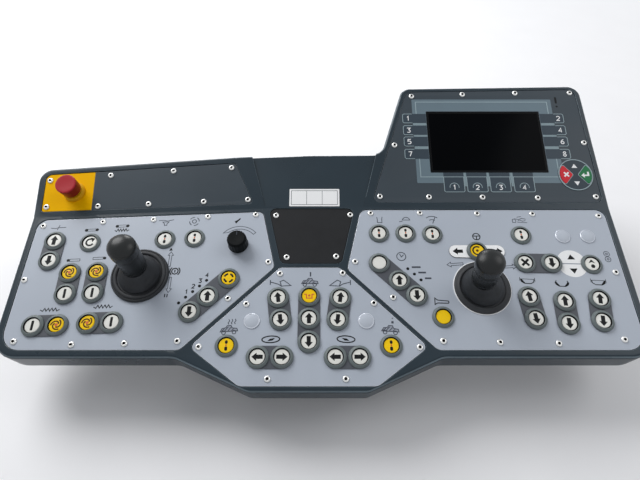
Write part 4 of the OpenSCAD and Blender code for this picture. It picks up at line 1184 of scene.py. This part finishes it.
knob_profile = [
    (0, -7), (3, -7), (3, 3.3), (13.6, 3.3), (14.4, 3.7), (14.5, 4.4), (14.3, 4.6), (14.2, 12),
    (13.9, 19.9), (13.3, 20.2), (12.7, 20.8), (12.4, 22.4), (11.8, 23.1), (11, 23.3), (7, 23.0),
    (0, 22.9),
]
turned_piece("knob_cap", "speed_knob", knob_place, knob_profile, [KNOB], "black_plastic",
             body="speed_knob", segments=120, wave=flutes)
pointer = Mesh()
shape(pointer, knob_place, [(-0.5, 5), (0.5, 5), (0.5, 10.6), (-0.5, 10.6)], z=23.02, t=0.2)
pointer.build("knob_pointer", [GREY_PRINT], body="speed_knob")

# Emergency stop

stop_place = WING @ move(*STOP_AT, PLATE_TOP)
collar_profile = soft([(7.05, -17), (11, -17), (11, 0), (16, 0), (16, 2.5), (13.4, 6), (7.05, 6)], 0.5)
turned_piece("stop_collar_ring", "stop_collar", stop_place, collar_profile, [COLLAR], "stop_collar")
head_profile = [
    (0, -9), (7, -9), (7, 10.5), (13.2, 10.5), (13.9, 10.9), (14.1, 11.6), (14.3, 16), (14.5, 20),
    (15, 28.2), (14.9, 29), (14.5, 29.6), (13.8, 29.95), (12.4, 30), (8, 29.7), (0, 29.5),
]
# The head's side below its top takes the darker copy of the red, as painted shade
head_shade_bands = [1 if z < 28 else 0 for _, z in head_profile]
turned_piece("stop_button_head", "stop_head", stop_place, head_profile, [STOP_TOP, STOP_SIDE_SHADED],
             "stop_head", head_shade_bands, "stop_button", segments=64)

# Base pan, gland and bracket

PAN_LOW = -61
pan = Mesh()
pan_place = DECK @ move(0, 0, 2 * PAN_LOW) @ Matrix.Diagonal((1, 1, -1, 1))
plate(pan, pan_place, inset(deck_outline, 26), -64, PAN_LOW, edge=0.6)
pan.build("pan_sheet", [PAN], replaces=["base_pan"], slot="pan")

BRACKET_T = 8
CHEEK_X = 74
underside = Mesh()
pan_screws = [
    (-370, 84), (-370, 180), (-370, 268), (-190, 268), (0, 268), (190, 268), (408, 268), (408, 180),
    (408, 84), (290, 84), (196, 84), (-196, 84), (-290, 84), (-50, 40), (50, 40),
]
for x, y in pan_screws:
    screw(underside, DECK @ move(x, y, PAN_LOW) @ turn(180, "X"), 4.6, 2.2)
for x in (-100, 100):
    for y in (-72, 72):
        screw(underside, HEAD @ move(x, y, -BRACKET_T) @ turn(180, "X"), 6.5, 3.6)
underside.build("underside_screws", [STEEL, SOCKET_SHADE], slot="steel")


def six_sided(a, z):
    return hexagon(a) if 5 < z < 17.9 else 1


gland_place = DECK @ move(-150, 235, PAN_LOW) @ turn(180, "X")
gland_profile = [
    (0, 0), (24, 0), (24, 4.4), (23.4, 5), (17.2, 5.01), (17.2, 17.8), (18.4, 18), (18.4, 20),
    (17.2, 22.6), (15.6, 24), (11.6, 24), (11, 23.4), (11, 4), (0, 4),
]
turned_piece("gland_nut", "cable_gland", gland_place, gland_profile, [KNOB], "black_plastic",
             segments=60, wave=six_sided)

bracket = Mesh()
bolt_holes = [circle(100 * i, 50 * j, 6.5) for i, j in SQUARE]
plate(bracket, WORLD, rectangle(0, 0, 240, 140, 14), 0, BRACKET_T, bolt_holes, edge=0.8)
plate(bracket, HEAD, rectangle(0, 0, 240, 164, 14), -BRACKET_T, 0, edge=0.8)


def cheek_top(s):
    """A point under the tilted upper plate, at a distance along it."""
    c, i = polar(1, TILT)
    return s * c + BRACKET_T * i, HEAD_Z + s * i - BRACKET_T * c


cheek = [(y, z, 2) for y, z in ((-62, BRACKET_T), (62, BRACKET_T), cheek_top(74), cheek_top(-74))]
upright = WORLD @ Matrix(((0, 0, 1, 0), (1, 0, 0, 0), (0, 1, 0, 0), (0, 0, 0, 1)))
for x in (-CHEEK_X, CHEEK_X):
    plate(bracket, upright, cheek, x - BRACKET_T / 2, x + BRACKET_T / 2, edge=0.6)
bracket.build("bracket_plates", [BRACKET], replaces=["bracket"], slot="bracket")

WELD_STEPS = 44
seams = (((-60, BRACKET_T), (60, BRACKET_T), 1), (cheek_top(-72), cheek_top(72), -1))
welds = Mesh()
for side in (-1, 1):
    for out in (-1, 1):
        for start, end, up in seams:
            x = side * CHEEK_X + out * BRACKET_T / 2
            sections = []
            for k in range(WELD_STEPS + 1):
                y, z = Vector(start).lerp(Vector(end), k / WELD_STEPS)
                r = 3.0 + 0.5 * math.sin(k * 2.2)
                bead = ((-0.4, -0.4), (r, -0.3), (r * 0.55, r * 0.55), (-0.3, r))
                sections.append([(x + out * i, y, z + up * j) for i, j in bead])
            welds.skin(WORLD, sections)
welds.build("bracket_welds", [WELD], slot="bracket", angle=60)

# Stage, light and camera

BACKDROP = (0.95, 0.97, 1.0, 1)
# In metres, as the lights and the fade are
FLOOR_HALF, FLOOR_Z = 9, -0.0005
FADE_RANGE = (0.8, 2.6)
WORLD_LIGHT = 0.36


def seen_ray(tree):
    """1 for the rays that show a backdrop: camera, glossy and transmission rays."""
    path = node(tree, "LightPath", {})
    value = path.outputs["Is Camera Ray"]
    for name in ("Is Glossy Ray", "Is Transmission Ray"):
        value = node(tree, "Math", {0: value, 1: path.outputs[name]}, operation="MAXIMUM").outputs[0]
    return value


def floor_material():
    """A pale floor that keeps the shadow and fades into the white backdrop further out."""
    mat = finish_of("floor", (246, 246, 248), 0.7, spread=0.01, bump=0.0)
    tree = mat.node_tree
    place = node(tree, "NewGeometry", {}).outputs["Position"]
    distance = node(tree, "VectorMath", {0: place}, operation="LENGTH").outputs["Value"]
    fade = ranged(tree, distance, *FADE_RANGE, 0, 1, interpolation_type="SMOOTHSTEP")
    share = node(tree, "Math", {0: fade, 1: seen_ray(tree)}, operation="MULTIPLY").outputs[0]
    backdrop = node(tree, "Emission", {"Color": BACKDROP}).outputs[0]
    near = tree.nodes["Principled BSDF"].outputs[0]
    surface = node(tree, "MixShader", {0: share, 1: near, 2: backdrop}).outputs[0]
    feed(tree, tree.nodes["Material Output"], {"Surface": surface})
    return mat


floor_data = bpy.data.meshes.new("floor")
floor_corners = [(i * FLOOR_HALF, j * FLOOR_HALF, FLOOR_Z) for i, j in SQUARE]
floor_data.from_pydata(floor_corners, [], [(0, 1, 2, 3)])
floor_data.materials.append(floor_material())
floor = new_object("floor", floor_data)


def area_light(name, at, aim, size, watts):
    light = bpy.data.lights.new(name, "AREA")
    light.shape = "DISK"
    light.size = size
    light.energy = watts
    obj = new_object(name, light)
    obj.location = at
    obj.rotation_euler = (Vector(aim) - Vector(at)).to_track_quat("-Z", "Y").to_euler()


area_light("key", (-1.4, 1.2, 2.0), (0, 0, 0.1), 1.8, 50)
area_light("fill", (1.8, 0.2, 2.1), (0, 0, 0.1), 1.6, 12)
area_light("rim", (-0.2, 2.6, 1.3), (0, 0.1, 0.15), 0.9, 18)
world = bpy.data.worlds.new("studio")
world.use_nodes = True
# The world gives less light than it shows
strength = ranged(world.node_tree, seen_ray(world.node_tree), 0, 1, WORLD_LIGHT, 1.0)
sky = world.node_tree.nodes["Background"]
feed(world.node_tree, sky, {"Color": BACKDROP, "Strength": strength})
bpy.context.scene.world = world
bpy.context.scene.view_settings.view_transform = "Standard"

# The camera looks forward, by an angle from the deck's normal
SENSOR_W = 36
FOCAL_PIXELS, PHOTO_PIXELS = 481, 640
EYE = DECK @ Vector((14.7, -108, 617.3))
LOOK_FORWARD = 28.0027
camera_data = bpy.data.cameras.new("camera")
camera_data.sensor_width = SENSOR_W
camera_data.lens = SENSOR_W * FOCAL_PIXELS / PHOTO_PIXELS
camera_data.clip_start = 0.02
camera = new_object("camera", camera_data)
camera.matrix_world = move(*EYE) @ turn(TILT + LOOK_FORWARD, "X")
bpy.context.scene.camera = camera
